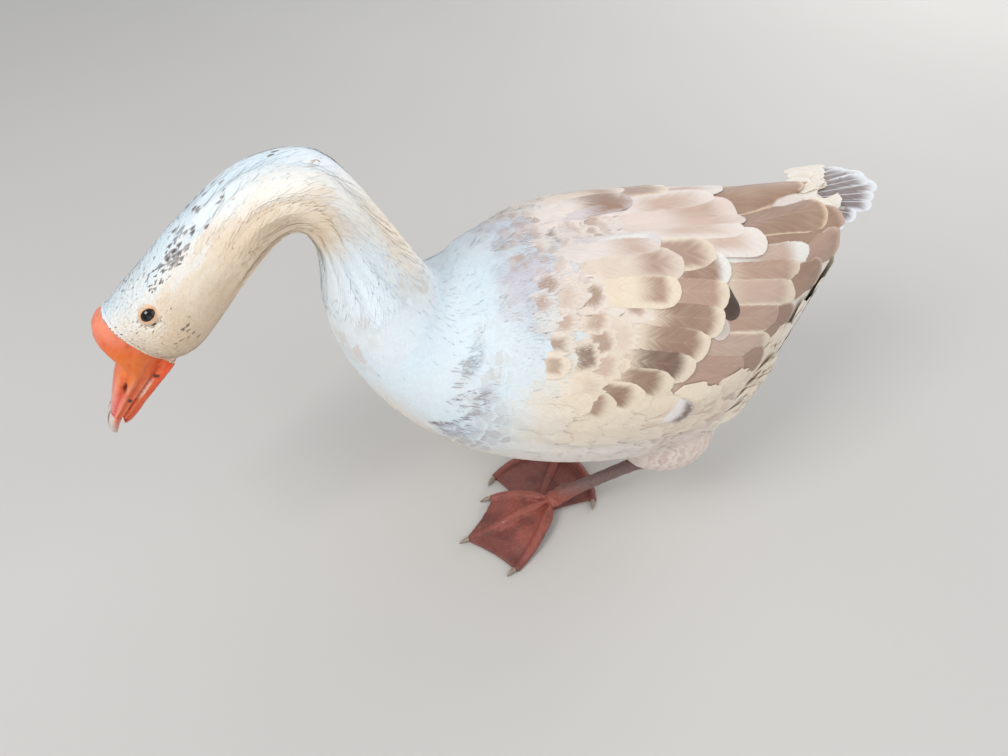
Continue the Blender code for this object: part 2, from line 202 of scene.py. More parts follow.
def on_body(place, angle):
    """The point of the goose's outline at a place along it, at an angle from its back line to its left."""
    middle, rise, half = ring(place)
    turn = math.radians(angle)
    out = rise * math.cos(turn) + LEFT * (half * math.sin(turn))
    if place < 2.6:
        hit = GUIDE.ray_cast(middle + out * 3, -out)[0]
    else:
        hit = GUIDE.ray_cast(middle, out)[0]
    return hit if hit is not None and (hit - middle).length < 1.6 * out.length + 0.02 else middle + out


def settled(point):
    """The point moved square to the nearest surface until it lies on it, and that surface's facing."""
    near, facing, _, _ = GUIDE.find_nearest(point)
    return point - facing * (point - near).dot(facing), facing


def lie(place, angle, lean=0.0):
    """The way feathers lie there: towards the tail, leaning down the side by that many degrees a place."""
    return (on_body(place - 0.12, angle + 0.24 * lean) - on_body(place + 0.12, angle)).normalized()


def steps(first, last, gap, side):
    """Places from first to last that lie a gap (mm) apart along a line of the body."""
    fine = np.linspace(first, last, 90)
    line = [on_body(place, side) for place in fine]
    run = np.concatenate([[0], np.cumsum([(b - a).length * 1000 for a, b in zip(line, line[1:])])])
    return np.interp(np.arange(0, run[-1], gap), run, fine)


def round_ring(place, gap, low, high, shift):
    """Angles between low and high, a gap (mm) apart round the body."""
    fine = np.linspace(low, high, max(8, int((high - low) / 6)))
    line = [on_body(place, angle) for angle in fine]
    run = np.concatenate([[0], np.cumsum([(b - a).length * 1000 for a, b in zip(line, line[1:])])])
    count = max(1, round(run[-1] / gap))
    return np.interp((np.arange(count) + shift) * run[-1] / count, run, fine)


# ---------------------------------------------------------------- colours and markings

def paint(red, green, blue):
    """A colour given on a 0 to 255 scale, as linear light."""
    shares = [channel / 255 for channel in (red, green, blue)]
    return np.array([c / 12.92 if c < 0.0405 else ((c + 0.055) / 1.055) ** 2.4 for c in shares])


SNOW = paint(236, 240, 245)
# white feathers with a painted bluish skylight cast
SKYLIT_WHITE = paint(216, 231, 238)
LILAC = paint(208, 206, 216)
MILK = paint(242, 238, 230)
CREAM = paint(238, 222, 198)
BUFF = paint(228, 202, 172)
BLUSH = paint(230, 212, 202)
ASH = paint(196, 188, 178)
FAWN = paint(206, 178, 160)
TAWNY = paint(182, 150, 132)
BROWN = paint(160, 128, 108)
UMBER = paint(132, 104, 88)
SOOT = paint(92, 78, 80)
SLATE = paint(128, 118, 118)
DOVE = paint(168, 156, 156)
MAUVE = paint(162, 146, 148)


def mixed(first, second, share):
    return first + (second - first) * min(max(share, 0.0), 1.0)


def blotch(place, angle, size, seed):
    """Uneven patches over the body, about 0 to 1."""
    middle, rise, half = ring(place)
    turn = math.radians(angle)
    spot = (middle + rise * math.cos(turn) + LEFT * (half * math.sin(turn))) * (1000 / size)
    return 0.5 + 0.5 * noise.noise(spot + Vector((seed * 7.3, seed * 3.1, -seed)))


def pale(place, angle):
    """The ground colour of the feathers at a place, with painted light: a bluish skylight cast on the crown,
    neck and breast, and a warm sunlit back to the rising neck.
    """
    side = abs(angle)
    head = smooth(19.5, 21.5, place)
    if place > 12.6:
        side += 40 * (blotch(place * 0.5, angle, 5, 2) - 0.5)
        # painted bluish skylight cast along the top of the upper neck and the crown
        tone = mixed(mixed(SNOW, SKYLIT_WHITE, 0.9 * smooth(15, 19, place)), MILK, smooth(5, 60, side))
        tone = mixed(tone, CREAM, smooth(50 - 5 * head, 100 - 15 * head, side) * 0.95)
        tone = mixed(tone, BUFF, smooth(70, 125, side) * (0.35 + 0.5 * head))
        tone = mixed(tone, BUFF, smooth(0.45, 0.7, blotch(place, angle, 26, 8)) * smooth(35, 70, side) * 0.6)
        # painted light on the rising neck: its back painted warm cream where the sun falls, its front and
        # sides given the painted bluish skylight cast
        rising = mixed(mixed(CREAM, MILK, 0.3), mixed(SNOW, SKYLIT_WHITE, 0.6), smooth(25, 75, side))
        tone = mixed(rising, tone, smooth(14.6, 17.2, place))
        # painted bluish skylight cast at the base of the neck
        return mixed(mixed(SNOW, SKYLIT_WHITE, 0.5), tone, smooth(12.6, 14.5, place))
    warm = smooth(100, 150, side) * smooth(12.2, 10.2, place)
    # the breast's white carries the painted bluish skylight cast
    breast = mixed(mixed(SNOW, SKYLIT_WHITE, 0.75), mixed(MILK, BUFF, 0.45), warm)
    breast = mixed(breast, LILAC, smooth(48, 14, side) * smooth(9.8, 8.6, place))
    # patches of stronger painted bluish skylight cast on the breast
    breast = mixed(breast, SKYLIT_WHITE, smooth(0.4, 0.7, blotch(place, angle, 40, 6)) * 0.7 * smooth(110, 80, side))
    wing = mixed(mixed(MILK, BLUSH, 0.6), CREAM, smooth(25, 65, side) * 0.85)
    belly = mixed(MILK, BLUSH, 0.75 - 0.45 * smooth(5.8, 7.2, place))
    belly = mixed(belly, mixed(CREAM, ASH, 0.4), smooth(120, 165, side))
    rear = mixed(wing, belly, smooth(92, 112, side))
    shift = smooth(45, 75, side)
    tone = mixed(rear, breast, smooth(6.9 + 0.9 * shift, 8.2 + 1.25 * shift, place))
    return mixed(mixed(MILK, CREAM, 0.5), tone, smooth(2.0, 3.6, place))


# soft brown patches: place, angle, reach along, reach round, strength, colour
PATCHES = (
    (13.4, 36, 0.5, 14, 0.6, ASH), (13.7, 62, 0.35, 12, 0.5, ASH), (12.7, 150, 0.5, 20, 0.5, ASH),
    (12.4, 134, 0.5, 14, 0.45, FAWN), (13.2, 114, 0.4, 12, 0.4, ASH), (17.4, 24, 0.22, 7, 0.9, TAWNY),
    (9.9, 42, 0.6, 12, 0.4, ASH), (9.6, 56, 0.7, 12, 0.5, ASH), (9.6, 72, 0.7, 12, 0.4, DOVE),
    (9.35, 86, 0.7, 12, 0.5, DOVE), (9.2, 101, 0.7, 12, 0.6, DOVE), (9.4, 118, 0.6, 14, 0.6, DOVE),
    (9.6, 134, 0.6, 12, 0.5, DOVE),
    (6.9, 0, 0.45, 13, 0.9, TAWNY), (7.1, 16, 0.35, 9, 0.8, TAWNY), (8.25, 8, 0.4, 9, 0.7, FAWN),
    (7.8, 10, 0.4, 10, 0.7, FAWN), (8.0, 27, 0.35, 10, 0.6, FAWN), (8.15, 39, 0.3, 9, 0.6, FAWN),
    (7.2, -24, 0.5, 10, 0.7, TAWNY),
)


def brownness(place, angle):
    """How brown a body feather is, 0 to 1, and its brown."""
    strength, tone = 0.0, FAWN
    for spot, turn, reach, width, most, shade in PATCHES:
        for side in ((angle,) if turn < 0 else (angle, -angle)):
            if abs(place - spot) < reach and abs(side - turn) < width:
                share = most * hump(0, 1, math.hypot((place - spot) / reach, (side - turn) / width))
                if share > strength:
                    strength, tone = share, shade
    mantle = hump(7.5, 1.5, place) * (1 - smooth(50, 72, abs(angle)))
    share = mantle * smooth(0.5, 0.78, blotch(place, angle, 15, 3)) * 0.8
    if share > strength:
        strength, tone = share, mixed(FAWN, TAWNY, 0.5)
    flank = hump(5.6, 1.6, place) * hump(103, 28, abs(angle))
    share = flank * (0.35 + 0.6 * smooth(0.3, 0.6, blotch(place, angle, 17, 5)))
    if share > strength:
        strength, tone = share, mixed(FAWN, DOVE, 0.3)
    return strength, tone


def flecks(place, angle):
    """How often a small feather of the head or neck is dark."""
    side = abs(angle)
    often = 0.75 * hump(22.0, 0.75, place) * hump(37, 17, side)
    often = max(often, 0.45 * hump(22.7, 0.4, place) * hump(38, 12, side))
    often = max(often, 0.3 * hump(21.0, 0.9, place) * hump(22, 22, side))
    often = max(often, 0.22 * hump(20.2, 0.9, place) * hump(14, 22, side))
    often = max(often, 0.5 * hump(18.2, 0.25, place) * hump(5, 12, side))
    often = max(often, 0.06 * hump(23.0, 1.4, place) * (1 - smooth(20, 45, side)))
    return max(often, 0.16 * hump(23.1, 0.7, place) * hump(108, 18, side))


# ---------------------------------------------------------------- feathers

class Blade:
    """The plan of one feather: stations across and along it, as a thin blade closed at its rim."""

    def __init__(self, columns, rows, root=0.45, belly=0.4, tip=1.0, ragged=0.0, point=0.0):
        bm = bmesh.new()
        bmesh.ops.create_grid(bm, x_segments=columns, y_segments=rows, size=1)
        rim = {v for v in bm.verts if max(abs(v.co.x), abs(v.co.y)) > 0.999}
        for v in bm.verts:
            v.co.z = 0 if v in rim else 1
        under = bmesh.ops.duplicate(bm, geom=bm.verts[:] + bm.edges[:] + bm.faces[:])["geom"]
        for part in under:
            if isinstance(part, bmesh.types.BMVert):
                part.co.z *= -1
        bmesh.ops.reverse_faces(bm, faces=[part for part in under if isinstance(part, bmesh.types.BMFace)])
        bmesh.ops.remove_doubles(bm, verts=bm.verts, dist=1e-4)
        bm.verts.index_update()
        spots = np.array([v.co for v in bm.verts])
        self.side = spots[:, 2]
        self.faces = np.array([[v.index for v in f.verts] for f in bm.faces])
        bm.free()
        self.columns, self.rows = columns, rows
        column = np.rint((spots[:, 0] + 1) / 2 * columns).astype(int)
        row = np.rint((spots[:, 1] + 1) / 2 * rows).astype(int)
        self.station = row * (columns + 1) + column
        self.across = np.tile(np.linspace(-1, 1, columns + 1), rows + 1)
        self.along = np.repeat(np.linspace(0, 1, rows + 1), columns + 1)
        self.root, self.belly, self.tip, self.ragged, self.point = root, belly, tip, ragged, point

    def shape(self, length, width):
        """How far across and along each station lies."""
        s, t = self.across, self.along
        full = np.clip(t / self.belly, 0, 1)
        wide = self.root + (1 - self.root) * full * full * (3 - 2 * full)
        wide = wide * (1 - self.point * np.clip((t - 0.35) / 0.65, 0, 1) ** 1.5)
        reach = np.minimum(self.tip * width / 2 / length, 0.8)
        along = t * (1 - reach * (1 - np.sqrt(1 - 0.97 * s * s)))
        if self.ragged:
            along = along + self.ragged * t ** 4 * luck.uniform(-1, 1, s.size) * width / length
        return s * wide * width / 2, along * length


SHARP_EDGE = 75  # degrees


class Coat:
    """Feathers of one part of the goose, gathered into one mesh."""

    def __init__(self, name, blade, patch=0.003):
        self.name, self.blade, self.patch = name, blade, patch
        self.points, self.cells, self.taken = [], [], set()
        self.grounds, self.middles, self.forms = [], [], []

    def cell(self, across, along):
        """A free square of the unwrap nearest to a root's own place."""
        count = int(1 / self.patch)
        column = int(min(max(across, 0), 0.999) * count)
        row = int(min(max(along, 0), 0.999) * count)
        for reach in range(count):
            span = range(-reach, reach + 1)
            around = [(column + i, row + j) for i in span for j in span if max(abs(i), abs(j)) == reach]
            for spot in around:
                if spot not in self.taken and 0 <= min(spot) and max(spot) < count:
                    self.taken.add(spot)
                    return spot
        return column, row

    def lay(self, root, way, length, width, low, high, ground, middle, form,
            spot=(0.5, 0.5), crown=0.2, thick=0.25, tuck=0.3, target=None, sweep=0.0, curl=0.0,
            settle=settled):
        """Bends one feather over the body from its root. Sizes are in millimetres; low and high are how
        far its root and its tip stand above the outline, and crown how far its middle stands above its
        edges."""
        blade = self.blade
        across, along = blade.shape(length, width)
        across, along = across / 1000, along / 1000
        spine, facing = settle(root)
        way = (way - facing * way.dot(facing)).normalized()
        step = length / 1000 / blade.rows
        count = blade.columns + 1
        spots, normals = [], []
        for row in range(blade.rows + 1):
            if row:
                if target is not None and (target - spine).length > step:
                    way = target - spine
                spine, facing = settle(spine + way.normalized() * step)
                way = (way - facing * way.dot(facing)).normalized()
                if sweep:
                    way = Matrix.Rotation(sweep / blade.rows, 3, facing) @ way
            over = facing.cross(way)
            for column in range(count):
                station = row * count + column
                ahead = along[station] - step * row
                point = spine + way * ahead + over * across[station]
                if abs(across[station]) > 0.0004 or abs(ahead) > 0.0004:
                    point, normal = settle(point)
                    spots.append(point)
                    normals.append((normal + facing).normalized())
                else:
                    spots.append(spine)
                    normals.append(facing)
        spots, normals = np.array(spots), np.array(normals)
        s, t = blade.across, blade.along
        lift = low + (high - low) * t + crown * (1 - s * s) * np.minimum(1, 3 * t)
        lift = lift - tuck * np.clip((t - 0.8) / 0.2, 0, 1) ** 2 + curl * t ** 3
        lift = lift[blade.station] + blade.side * thick / 2
        self.points.append(spots[blade.station] + normals[blade.station] * lift[:, None] / 1000)
        self.cells.append(self.cell(*spot))
        self.grounds.append([*ground, luck.random()])
        self.middles.append([*middle, 1.0])
        self.forms.append(form)

    def made(self, finish, body_slot, *nodes):
        """The finished piece, riding on the body in place of those CAD nodes."""
        blade, many = self.blade, len(self.points)
        size, sides = len(blade.side), len(blade.faces)
        corners = (blade.faces[None] + np.arange(many)[:, None, None] * size).reshape(-1)
        mesh = bpy.data.meshes.new(self.name)
        mesh.vertices.add(many * size)
        mesh.vertices.foreach_set("co", np.concatenate(self.points).astype(np.float32).ravel())
        mesh.loops.add(len(corners))
        mesh.loops.foreach_set("vertex_index", corners.astype(np.int32))
        mesh.polygons.add(many * sides)
        mesh.polygons.foreach_set("loop_start", np.arange(0, len(corners), 4, dtype=np.int32))
        mesh.update(calc_edges=True)
        mesh.validate()
        mesh.shade_smooth()
        mesh.set_sharp_from_angle(angle=math.radians(SHARP_EDGE))
        local = np.stack([blade.across / 2 + 0.5, blade.along], 1)[blade.station][blade.faces.ravel()]
        vane = mesh.uv_layers.new(name="Vane")
        vane.data.foreach_set("uv", np.tile(local, (many, 1)).astype(np.float32).ravel())
        cells = np.array(self.cells, float)[:, None, :]
        bake = mesh.uv_layers.new(name="OFBake")
        squares = (cells + 0.05 + 0.9 * local[None]) * self.patch
        bake.data.foreach_set("uv", squares.astype(np.float32).ravel())
        for name, values in (("ground", self.grounds), ("middle", self.middles), ("form", self.forms)):
            painted(mesh, name, np.repeat(np.array(values, np.float32), size, axis=0))
        piece = object_of(mesh, self.name)
        mesh.materials.append(finish)
        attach(piece, "root")
        if nodes:
            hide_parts(*nodes)
        print(self.name, many, "feathers", many * sides * 2, "triangles")
        return piece


def near_eye(point, reach):
    """Whether a point of the head is within reach (mm) of an eye's opening."""
    for side in ("eye_left", "eye_right"):
        low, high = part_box(side)
        away = (point - (low + high) / 2) * 1000
        if abs(away.y) < 20 and math.hypot(away.x, away.z) < reach:
            return True
    return False


# ---------------------------------------------------------------- finishes

class Tone:
    """A number in a finish. Sums on it add Math nodes."""

    def __init__(self, finish, socket):
        self.finish, self.socket = finish, socket

    def __add__(self, other):
        return self.finish.sum("ADD", self, other)

    def __sub__(self, other):
        return self.finish.sum("SUBTRACT", self, other)

    def __rsub__(self, other):
        return self.finish.sum("SUBTRACT", other, self)

    def __mul__(self, other):
        return self.finish.sum("MULTIPLY", self, other)

    def __abs__(self):
        return self.finish.sum("ABSOLUTE", self)

    __radd__, __rmul__ = __add__, __mul__


class Finish:
    """One material. Its constants are set on the shader's own sockets."""

    def __init__(self, name, **constants):
        self.material = bpy.data.materials.new(name)
        self.material.use_nodes = True
        self.tree = self.material.node_tree
        self.shader = self.tree.nodes["Principled BSDF"]
        for key, value in constants.items():
            self.shader.inputs[key.replace("_", " ")].default_value = value

    def node(self, kind, settings=None, values=None, output=0):
        """Adds a node: its settings, then its sockets' values or links. Gives one of its outputs."""
        made = self.tree.nodes.new("ShaderNode" + kind)
        for key, value in (settings or {}).items():
            setattr(made, key, value)
        for key, value in (values or {}).items():
            if isinstance(value, Tone):
                self.tree.links.new(value.socket, made.inputs[key])
            elif isinstance(value, np.ndarray):
                made.inputs[key].default_value = (*value, 1)
            else:
                made.inputs[key].default_value = value
        return Tone(self, made.outputs[output])

    def sum(self, operation, *values):
        return self.node("Math", {"operation": operation}, dict(enumerate(values)))

    def mix(self, share, first, second, blend="MIX"):
        settings = {"data_type": "RGBA", "blend_type": blend}
        return self.node("Mix", settings, {0: share, 6: first, 7: second}, 2)

    def step(self, value, low, high):
        values = {"Value": value, "From Min": low, "From Max": high}
        return self.node("MapRange", {"interpolation_type": "SMOOTHSTEP"}, values)

    def own(self, name, output="Color"):
        return self.node("Attribute", {"attribute_name": name}, output=output)

    def split(self, vector):
        made = self.node("SeparateXYZ", None, {0: vector})
        outputs = made.socket.node.outputs
        return [Tone(self, socket) for socket in outputs]

    def place(self, scale=(1, 1, 1)):
        spot = self.node("TexCoord", output="Object")
        return self.node("Mapping", None, {"Vector": spot, "Scale": scale})

    def grain(self, vector, scale, detail=2.0, rough=0.5, warp=0.0):
        values = {"Vector": vector, "Scale": scale, "Detail": detail, "Roughness": rough, "Distortion": warp}
        return self.node("TexNoise", None, values)

    def bump(self, height, strength, distance):
        return self.node("Bump", None, {"Height": height, "Strength": strength, "Distance": distance})

    def feed(self, **inputs):
        for key, value in inputs.items():
            self.tree.links.new(value.socket, self.shader.inputs[key.replace("_", " ")])
        return self.material


def plumage(name, bars, depth, rough, haze=0.06):
    """Feathers: a pale ground, a darker middle with a soft or sharp margin, a shaft, and fine barbs."""
    f = Finish(name, Roughness=rough, Sheen_Weight=0.15, Sheen_Roughness=0.6, Specular_IOR_Level=0.25)
    x, y, _ = f.split(f.node("UVMap", {"uv_map": "Vane"}))
    margin, soft, start = f.split(f.own("form"))
    shaft = f.own("form", "Alpha")
    own_number = f.own("ground", "Alpha")
    across = abs(x * 2 - 1)
    slant = (y - across * 0.34) * bars
    barb_spot = {0: slant, 1: across * 2.5 + own_number * 9, 2: own_number * 40}
    barbs = f.grain(f.node("CombineXYZ", None, barb_spot), 1, 3)
    wisp_spot = {0: slant * 0.35, 1: across * 1.2, 2: own_number * 90}
    wisps = f.grain(f.node("CombineXYZ", None, wisp_spot), 1, 2)
    rim = f.sum("MINIMUM", 1 - across, (1 - y) * 2.2)
    edge = rim + ((wisps - 0.5) * 1.1 + (barbs - 0.5) * 1.3) * soft
    inside = f.step(edge, margin - soft * 1.3, margin + soft * 1.3)
    begun = f.step(y + (barbs - 0.5) * 0.3, start - 0.16, start + 0.16)
    mark = inside * begun
    colour = f.mix(mark * (0.8 + wisps * 0.35), f.own("ground"), f.own("middle"))
    quill = (1 - f.step(across, 0.025, 0.07)) * shaft
    colour = f.mix(quill * 0.6, colour, f.own("ground"))
    shade = 1 - haze + (barbs - 0.5) * haze * 4
    colour = f.mix(1.0, colour, shade, "MULTIPLY")
    cloud = f.grain(f.place(), 26, 3)
    colour = f.mix((cloud - 0.45) * 0.5, colour, BUFF)
    height = barbs * 0.7 + quill * 0.8 + wisps * 0.3
    return f.feed(Base_Color=colour, Normal=f.bump(height, 0.55, depth))


def skin_finish():
    f = Finish("skin", Roughness=0.75, Sheen_Weight=0.2)
    fluff = f.grain(f.place(), 220, 4)
    colour = f.mix((fluff - 0.4) * 0.5, f.own("tint"), ASH * 0.8)
    return f.feed(Base_Color=colour, Normal=f.bump(fluff, 0.5, 0.0008))


def bill_finish():
    f = Finish("bill", Subsurface_Weight=0.12, Subsurface_Scale=0.004, Specular_IOR_Level=0.45)
    spot = f.place()
    stain = f.grain(spot, 160, 4, 0.6)
    fine = f.grain(f.place((1, 1.6, 1)), 620, 3, 0.6)
    pits = f.node("TexVoronoi", None, {"Vector": spot, "Scale": 900.0})
    colour = f.mix((stain - 0.42) * 0.7, f.own("tint"), paint(240, 150, 110))
    colour = f.mix(f.step(fine, 0.60, 0.75) * 0.35, colour, paint(168, 56, 30))
    rough = 0.34 + (stain - 0.5) * 0.3
    return f.feed(Base_Color=colour, Roughness=rough, Normal=f.bump(fine * 0.6 + pits * 0.3, 0.35, 0.0005))


def nail_finish():
    f = Finish("nail", Subsurface_Weight=0.1, Subsurface_Scale=0.002)
    lines = f.grain(f.place((1, 6, 1)), 220, 3)
    colour = f.mix(lines, f.own("tint"), f.mix(0.5, f.own("tint"), paint(150, 128, 110)))
    return f.feed(Base_Color=colour, Roughness=0.3 + lines * 0.2, Normal=f.bump(lines, 0.3, 0.0003))


def foot_finish():
    f = Finish("feet", Subsurface_Weight=0.08, Subsurface_Scale=0.003)
    spot = f.place()
    scales = f.node("TexVoronoi", {"feature": "DISTANCE_TO_EDGE"}, {"Vector": spot, "Scale": 520.0})
    plates = f.step(scales, 0.0, 0.13)
    dirt = f.grain(spot, 90, 4, 0.6)
    creases = f.grain(f.place((1, 1, 2.5)), 240, 3, 0.6, 0.6)
    colour = f.mix((1 - plates) * 0.45, f.own("tint"), paint(58, 34, 30))
    colour = f.mix(f.step(dirt, 0.52, 0.75) * 0.5, colour, paint(104, 84, 72))
    rough = 0.42 + (dirt - 0.5) * 0.5
    height = plates * 0.6 + creases * 0.7
    return f.feed(Base_Color=colour, Roughness=rough, Normal=f.bump(height, 0.5, 0.0007))


def claw_finish():
    f = Finish("claw", Roughness=0.35)
    lines = f.grain(f.place((1, 1, 4)), 300, 3)
    colour = f.mix(lines, paint(186, 168, 150), paint(86, 68, 58))
    return f.feed(Base_Color=colour, Normal=f.bump(lines, 0.3, 0.0003))


def eye_finish():
    f = Finish("eye", Roughness=0.04, Specular_IOR_Level=0.45)
    streaks = f.grain(f.place(), 1400, 3)
    iris = f.mix(streaks, paint(44, 26, 18), paint(70, 42, 26))
    return f.feed(Base_Color=f.mix(f.own("pupil", "Fac"), iris, paint(6, 5, 5)))


def ground_finish():
    f = Finish("floor", Roughness=0.85)
    cloud = f.grain(f.place(), 1.5, 3)
    return f.feed(Base_Color=f.mix(cloud, paint(196, 193, 188), paint(206, 204, 200)))


# ---------------------------------------------------------------- skin, with the lids

FACE_DEPTH, NECK_DEPTH, BODY_DEPTH = 1.1, 1.9, 3.0  # how deep the feathers are, in mm


def coat_depth(point):
    """How deep the feathers are over a point, in metres: thin on the face, thick on the body."""
    forward, up = (HIPS - point[0]) * 1000, point[2] * 1000
    head = smooth(225, 285, forward)
    neck = smooth(150, 205, forward) * smooth(235, 275, up)
    return (FACE_DEPTH * head + (1 - head) * (NECK_DEPTH * neck + BODY_DEPTH * (1 - neck))) / 1000


def make_skin():
    skin = wrapped(FLESH + WINGS, "skin", 0.0021, 10, CREASE, short_wings=True)
    mesh = skin.data
    points = places(mesh)
    depth = np.array([coat_depth(point) for point in points])
    points -= facings(mesh) * depth[:, None]
    moved(mesh, points)
    tint = np.tile([*mixed(MILK, CREAM, 0.3), 1.0], (len(points), 1))
    painted(mesh, "tint", tint)
    return skin


LID_RINGS = (  # half length, half height, share of the way from the eyeball to the head's outline, rise (mm)
    (4.6, 3.3, 0, -0.35), (4.75, 3.5, 0, 0.15), (5.1, 3.9, 0, 0.45), (5.6, 4.5, 0.2, 0.4),
    (6.1, 5.1, 0.7, 0.2), (6.7, 5.9, 1, 0.0), (7.5, 6.9, 1, -0.5), (8.6, 8.0, 1, -1.8),
)


def eye_frame(side):
    """The eye's middle, the way it looks, the long way of its opening, and across it."""
    low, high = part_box(side)
    middle = (low + high) / 2
    out = (settled(middle)[1] + (LEFT if side == "eye_left" else -LEFT)).normalized()
    long = Vector((-0.8, 0, -0.6))
    long = (long - out * long.dot(out)).normalized()
    return middle - out * 0.0009, out, long, out.cross(long)


def make_lids(side):
    """Rings of bare skin round the eye, from the rim that meets it to one that dips under the feathers."""
    middle, out, long, over = eye_frame(side)
    low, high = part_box(side)
    radius = (high.x - low.x) / 2
    bm = bmesh.new()
    tint = bm.verts.layers.float_color.new("tint")
    turns = bm.verts.layers.float.new("turn")
    ringed = bmesh.ops.create_circle(bm, segments=48, radius=1)["verts"]
    for v in ringed:
        v[turns] = math.atan2(v.co.y, v.co.x)
    rim = list(bm.edges)
    for number, (half_long, half_high, share, rise) in enumerate(LID_RINGS):
        if number:
            grown = bmesh.ops.extrude_edge_only(bm, edges=rim)["geom"]
            ringed = [part for part in grown if isinstance(part, bmesh.types.BMVert)]
            rim = [part for part in grown if isinstance(part, bmesh.types.BMEdge)
                   and all(v in ringed for v in part.verts)]
        for v in ringed:
            turn = v[turns]
            fold = 1 + 0.03 * math.sin(8 * turn) * smooth(2, 4, number)
            flat = (long * (half_long * math.cos(turn)) + over * (half_high * math.sin(turn))) * (fold / 1000)
            ball = middle + flat + out * math.sqrt(max(radius ** 2 - flat.length_squared, 0))
            head = GUIDE.ray_cast(middle + flat + out * 0.02, -out)[0] if share else ball
            on_ball = (ball - middle).dot(out) if flat.length < radius else -1
            bare = max((ball.lerp(head, share) - middle).dot(out), on_ball)
            v.co = middle + flat + out * (bare + rise / 1000)
            inner = smooth(0.5, 1.5, number) * (1 - smooth(2.0, 3.6, number))
            orange = inner + 0.5 * hump(4.4, 1.0, number)
            v[tint] = (*mixed(mixed(MILK, CREAM, 0.8), paint(214, 142, 78), orange), 1)
    bmesh.ops.recalc_face_normals(bm, faces=bm.faces)
    if sum((f.normal.dot(out) for f in bm.faces), 0.0) < 0:
        bmesh.ops.reverse_faces(bm, faces=bm.faces[:])
    bm.verts.layers.float.remove(turns)
    return bm


def make_eye(side, finish):
    """The eyeball, with its pupil where it looks."""
    middle, out, _, _ = eye_frame(side)
    low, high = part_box(side)
    bm = bmesh.new()
    bmesh.ops.create_uvsphere(bm, u_segments=48, v_segments=32, radius=(high.x - low.x) / 2)
    bmesh.ops.translate(bm, verts=bm.verts, vec=middle)
    mesh = bpy.data.meshes.new(side)
    bm.to_mesh(mesh)
    bm.free()
    mesh.shade_smooth()
    toward = [(Vector(v.co) - middle).normalized().dot(out) for v in mesh.vertices]
    layer = mesh.attributes.new("pupil", "FLOAT", "POINT")
    layer.data.foreach_set("value", np.array([smooth(0.87, 0.90, value) for value in toward], np.float32))
    mesh.materials.append(finish)
    piece = object_of(mesh, side + "_ball")
    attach(piece, "root")
    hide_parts(side)


skin = make_skin()
for side in ("eye_left", "eye_right"):
    lids = make_lids(side)
    lids.from_mesh(skin.data)
    lids.to_mesh(skin.data)
    lids.free()
skin.data.shade_smooth()
skin.data.materials.clear()
skin.data.materials.append(skin_finish())
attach(skin, "root")
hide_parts(*FLESH)
print("skin", len(skin.data.polygons) * 2)

eye = eye_finish()
make_eye("eye_left", eye)
make_eye("eye_right", eye)


# ---------------------------------------------------------------- bill

def piece_of(nodes, name, voxel, passes, finish, shape, tint, fill=0.0):
    """CAD nodes wrapped in one smooth surface, then shaped and tinted point by point."""
    piece = wrapped(nodes, name, voxel, passes, fill)
    mesh = piece.data
    points, outward = places(mesh), facings(mesh)
    if shape:
        lifts = np.array([shape(*spot, facing) for spot, facing in zip(on_goose(points), outward)])
        moved(mesh, points + outward * lifts[:, None] / 1000)
    painted(mesh, "tint", [[*tint(*spot), 1.0] for spot in on_goose(points)])
    mesh.shade_smooth()
    mesh.materials.clear()
    mesh.materials.append(finish)
    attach(piece, "root")
    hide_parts(*nodes)
    print(name, len(mesh.polygons) * 2)
    return piece


def on_goose(points):
    """Forward, left and up of points in the frame."""
    return np.stack([(HIPS - points[:, 0]) * 1000, -points[:, 1] * 1000, points[:, 2] * 1000], 1)


def bill_way(forward, left, up):
    """How far down the bill a point is, from the brow (0) to the tip (1), and how far round it from its
    ridge to the mouth (1) and on to the chin (2)."""
    along = (277 - up + 0.22 * (forward - 343)) / 92
    ridge = 352 + 9 * along - 26 * max(0.0, 0.42 - abs(along - 0.45))
    mouth = 293 + 65 * along
    above = (ridge - forward) / max(ridge - mouth, 4)
    return along, above if forward > mouth else 1 + (mouth - forward) / 8


def nostril(forward, up):
    """1 inside the slit of the nostril, 0 outside."""
    ahead, down = forward - 343.4, 222.5 - up
    across, along = ahead * 0.94 - down * 0.34, ahead * 0.34 + down * 0.94
    return 1 - smooth(0.5, 1.15, math.hypot(across, along / 5.4))


def bill_shape(forward, left, up, facing):
    """Ridges along the bill, the brow's dents, the nostril and the line of the mouth."""
    along, round_ = bill_way(forward, left, up)
    spot = Vector((forward, left, up))
    lift = 0.4 * noise.noise(spot / 9) * smooth(0.5, 0.2, along) + 0.15 * noise.noise(spot / 3)
    down_bill = smooth(0.3, 0.5, along) * smooth(0.3, 0.7, abs(facing[1]))
    lift += 0.5 * math.sin(round_ * 16 + 0.8 * noise.noise(spot / 12)) * down_bill * smooth(1.5, 1.2, round_)
    lift -= 0.3 * hump(1.02, 0.12, round_) * smooth(0.2, 0.4, along) * smooth(0.2, 0.5, abs(facing[1]))
    lift += 0.9 * hump(1.3, 0.25, round_) * down_bill + 1.4 * facing[0] * smooth(206, 192, up)
    return lift - 1.7 * nostril(forward, up) * smooth(0.3, 0.6, abs(facing[1]))


BILL_SPOTS = ((343.4, 210.8, 1.3, 2.0), (322.8, 226.8, 2.1, 1.5))  # forward, up, wide, tall


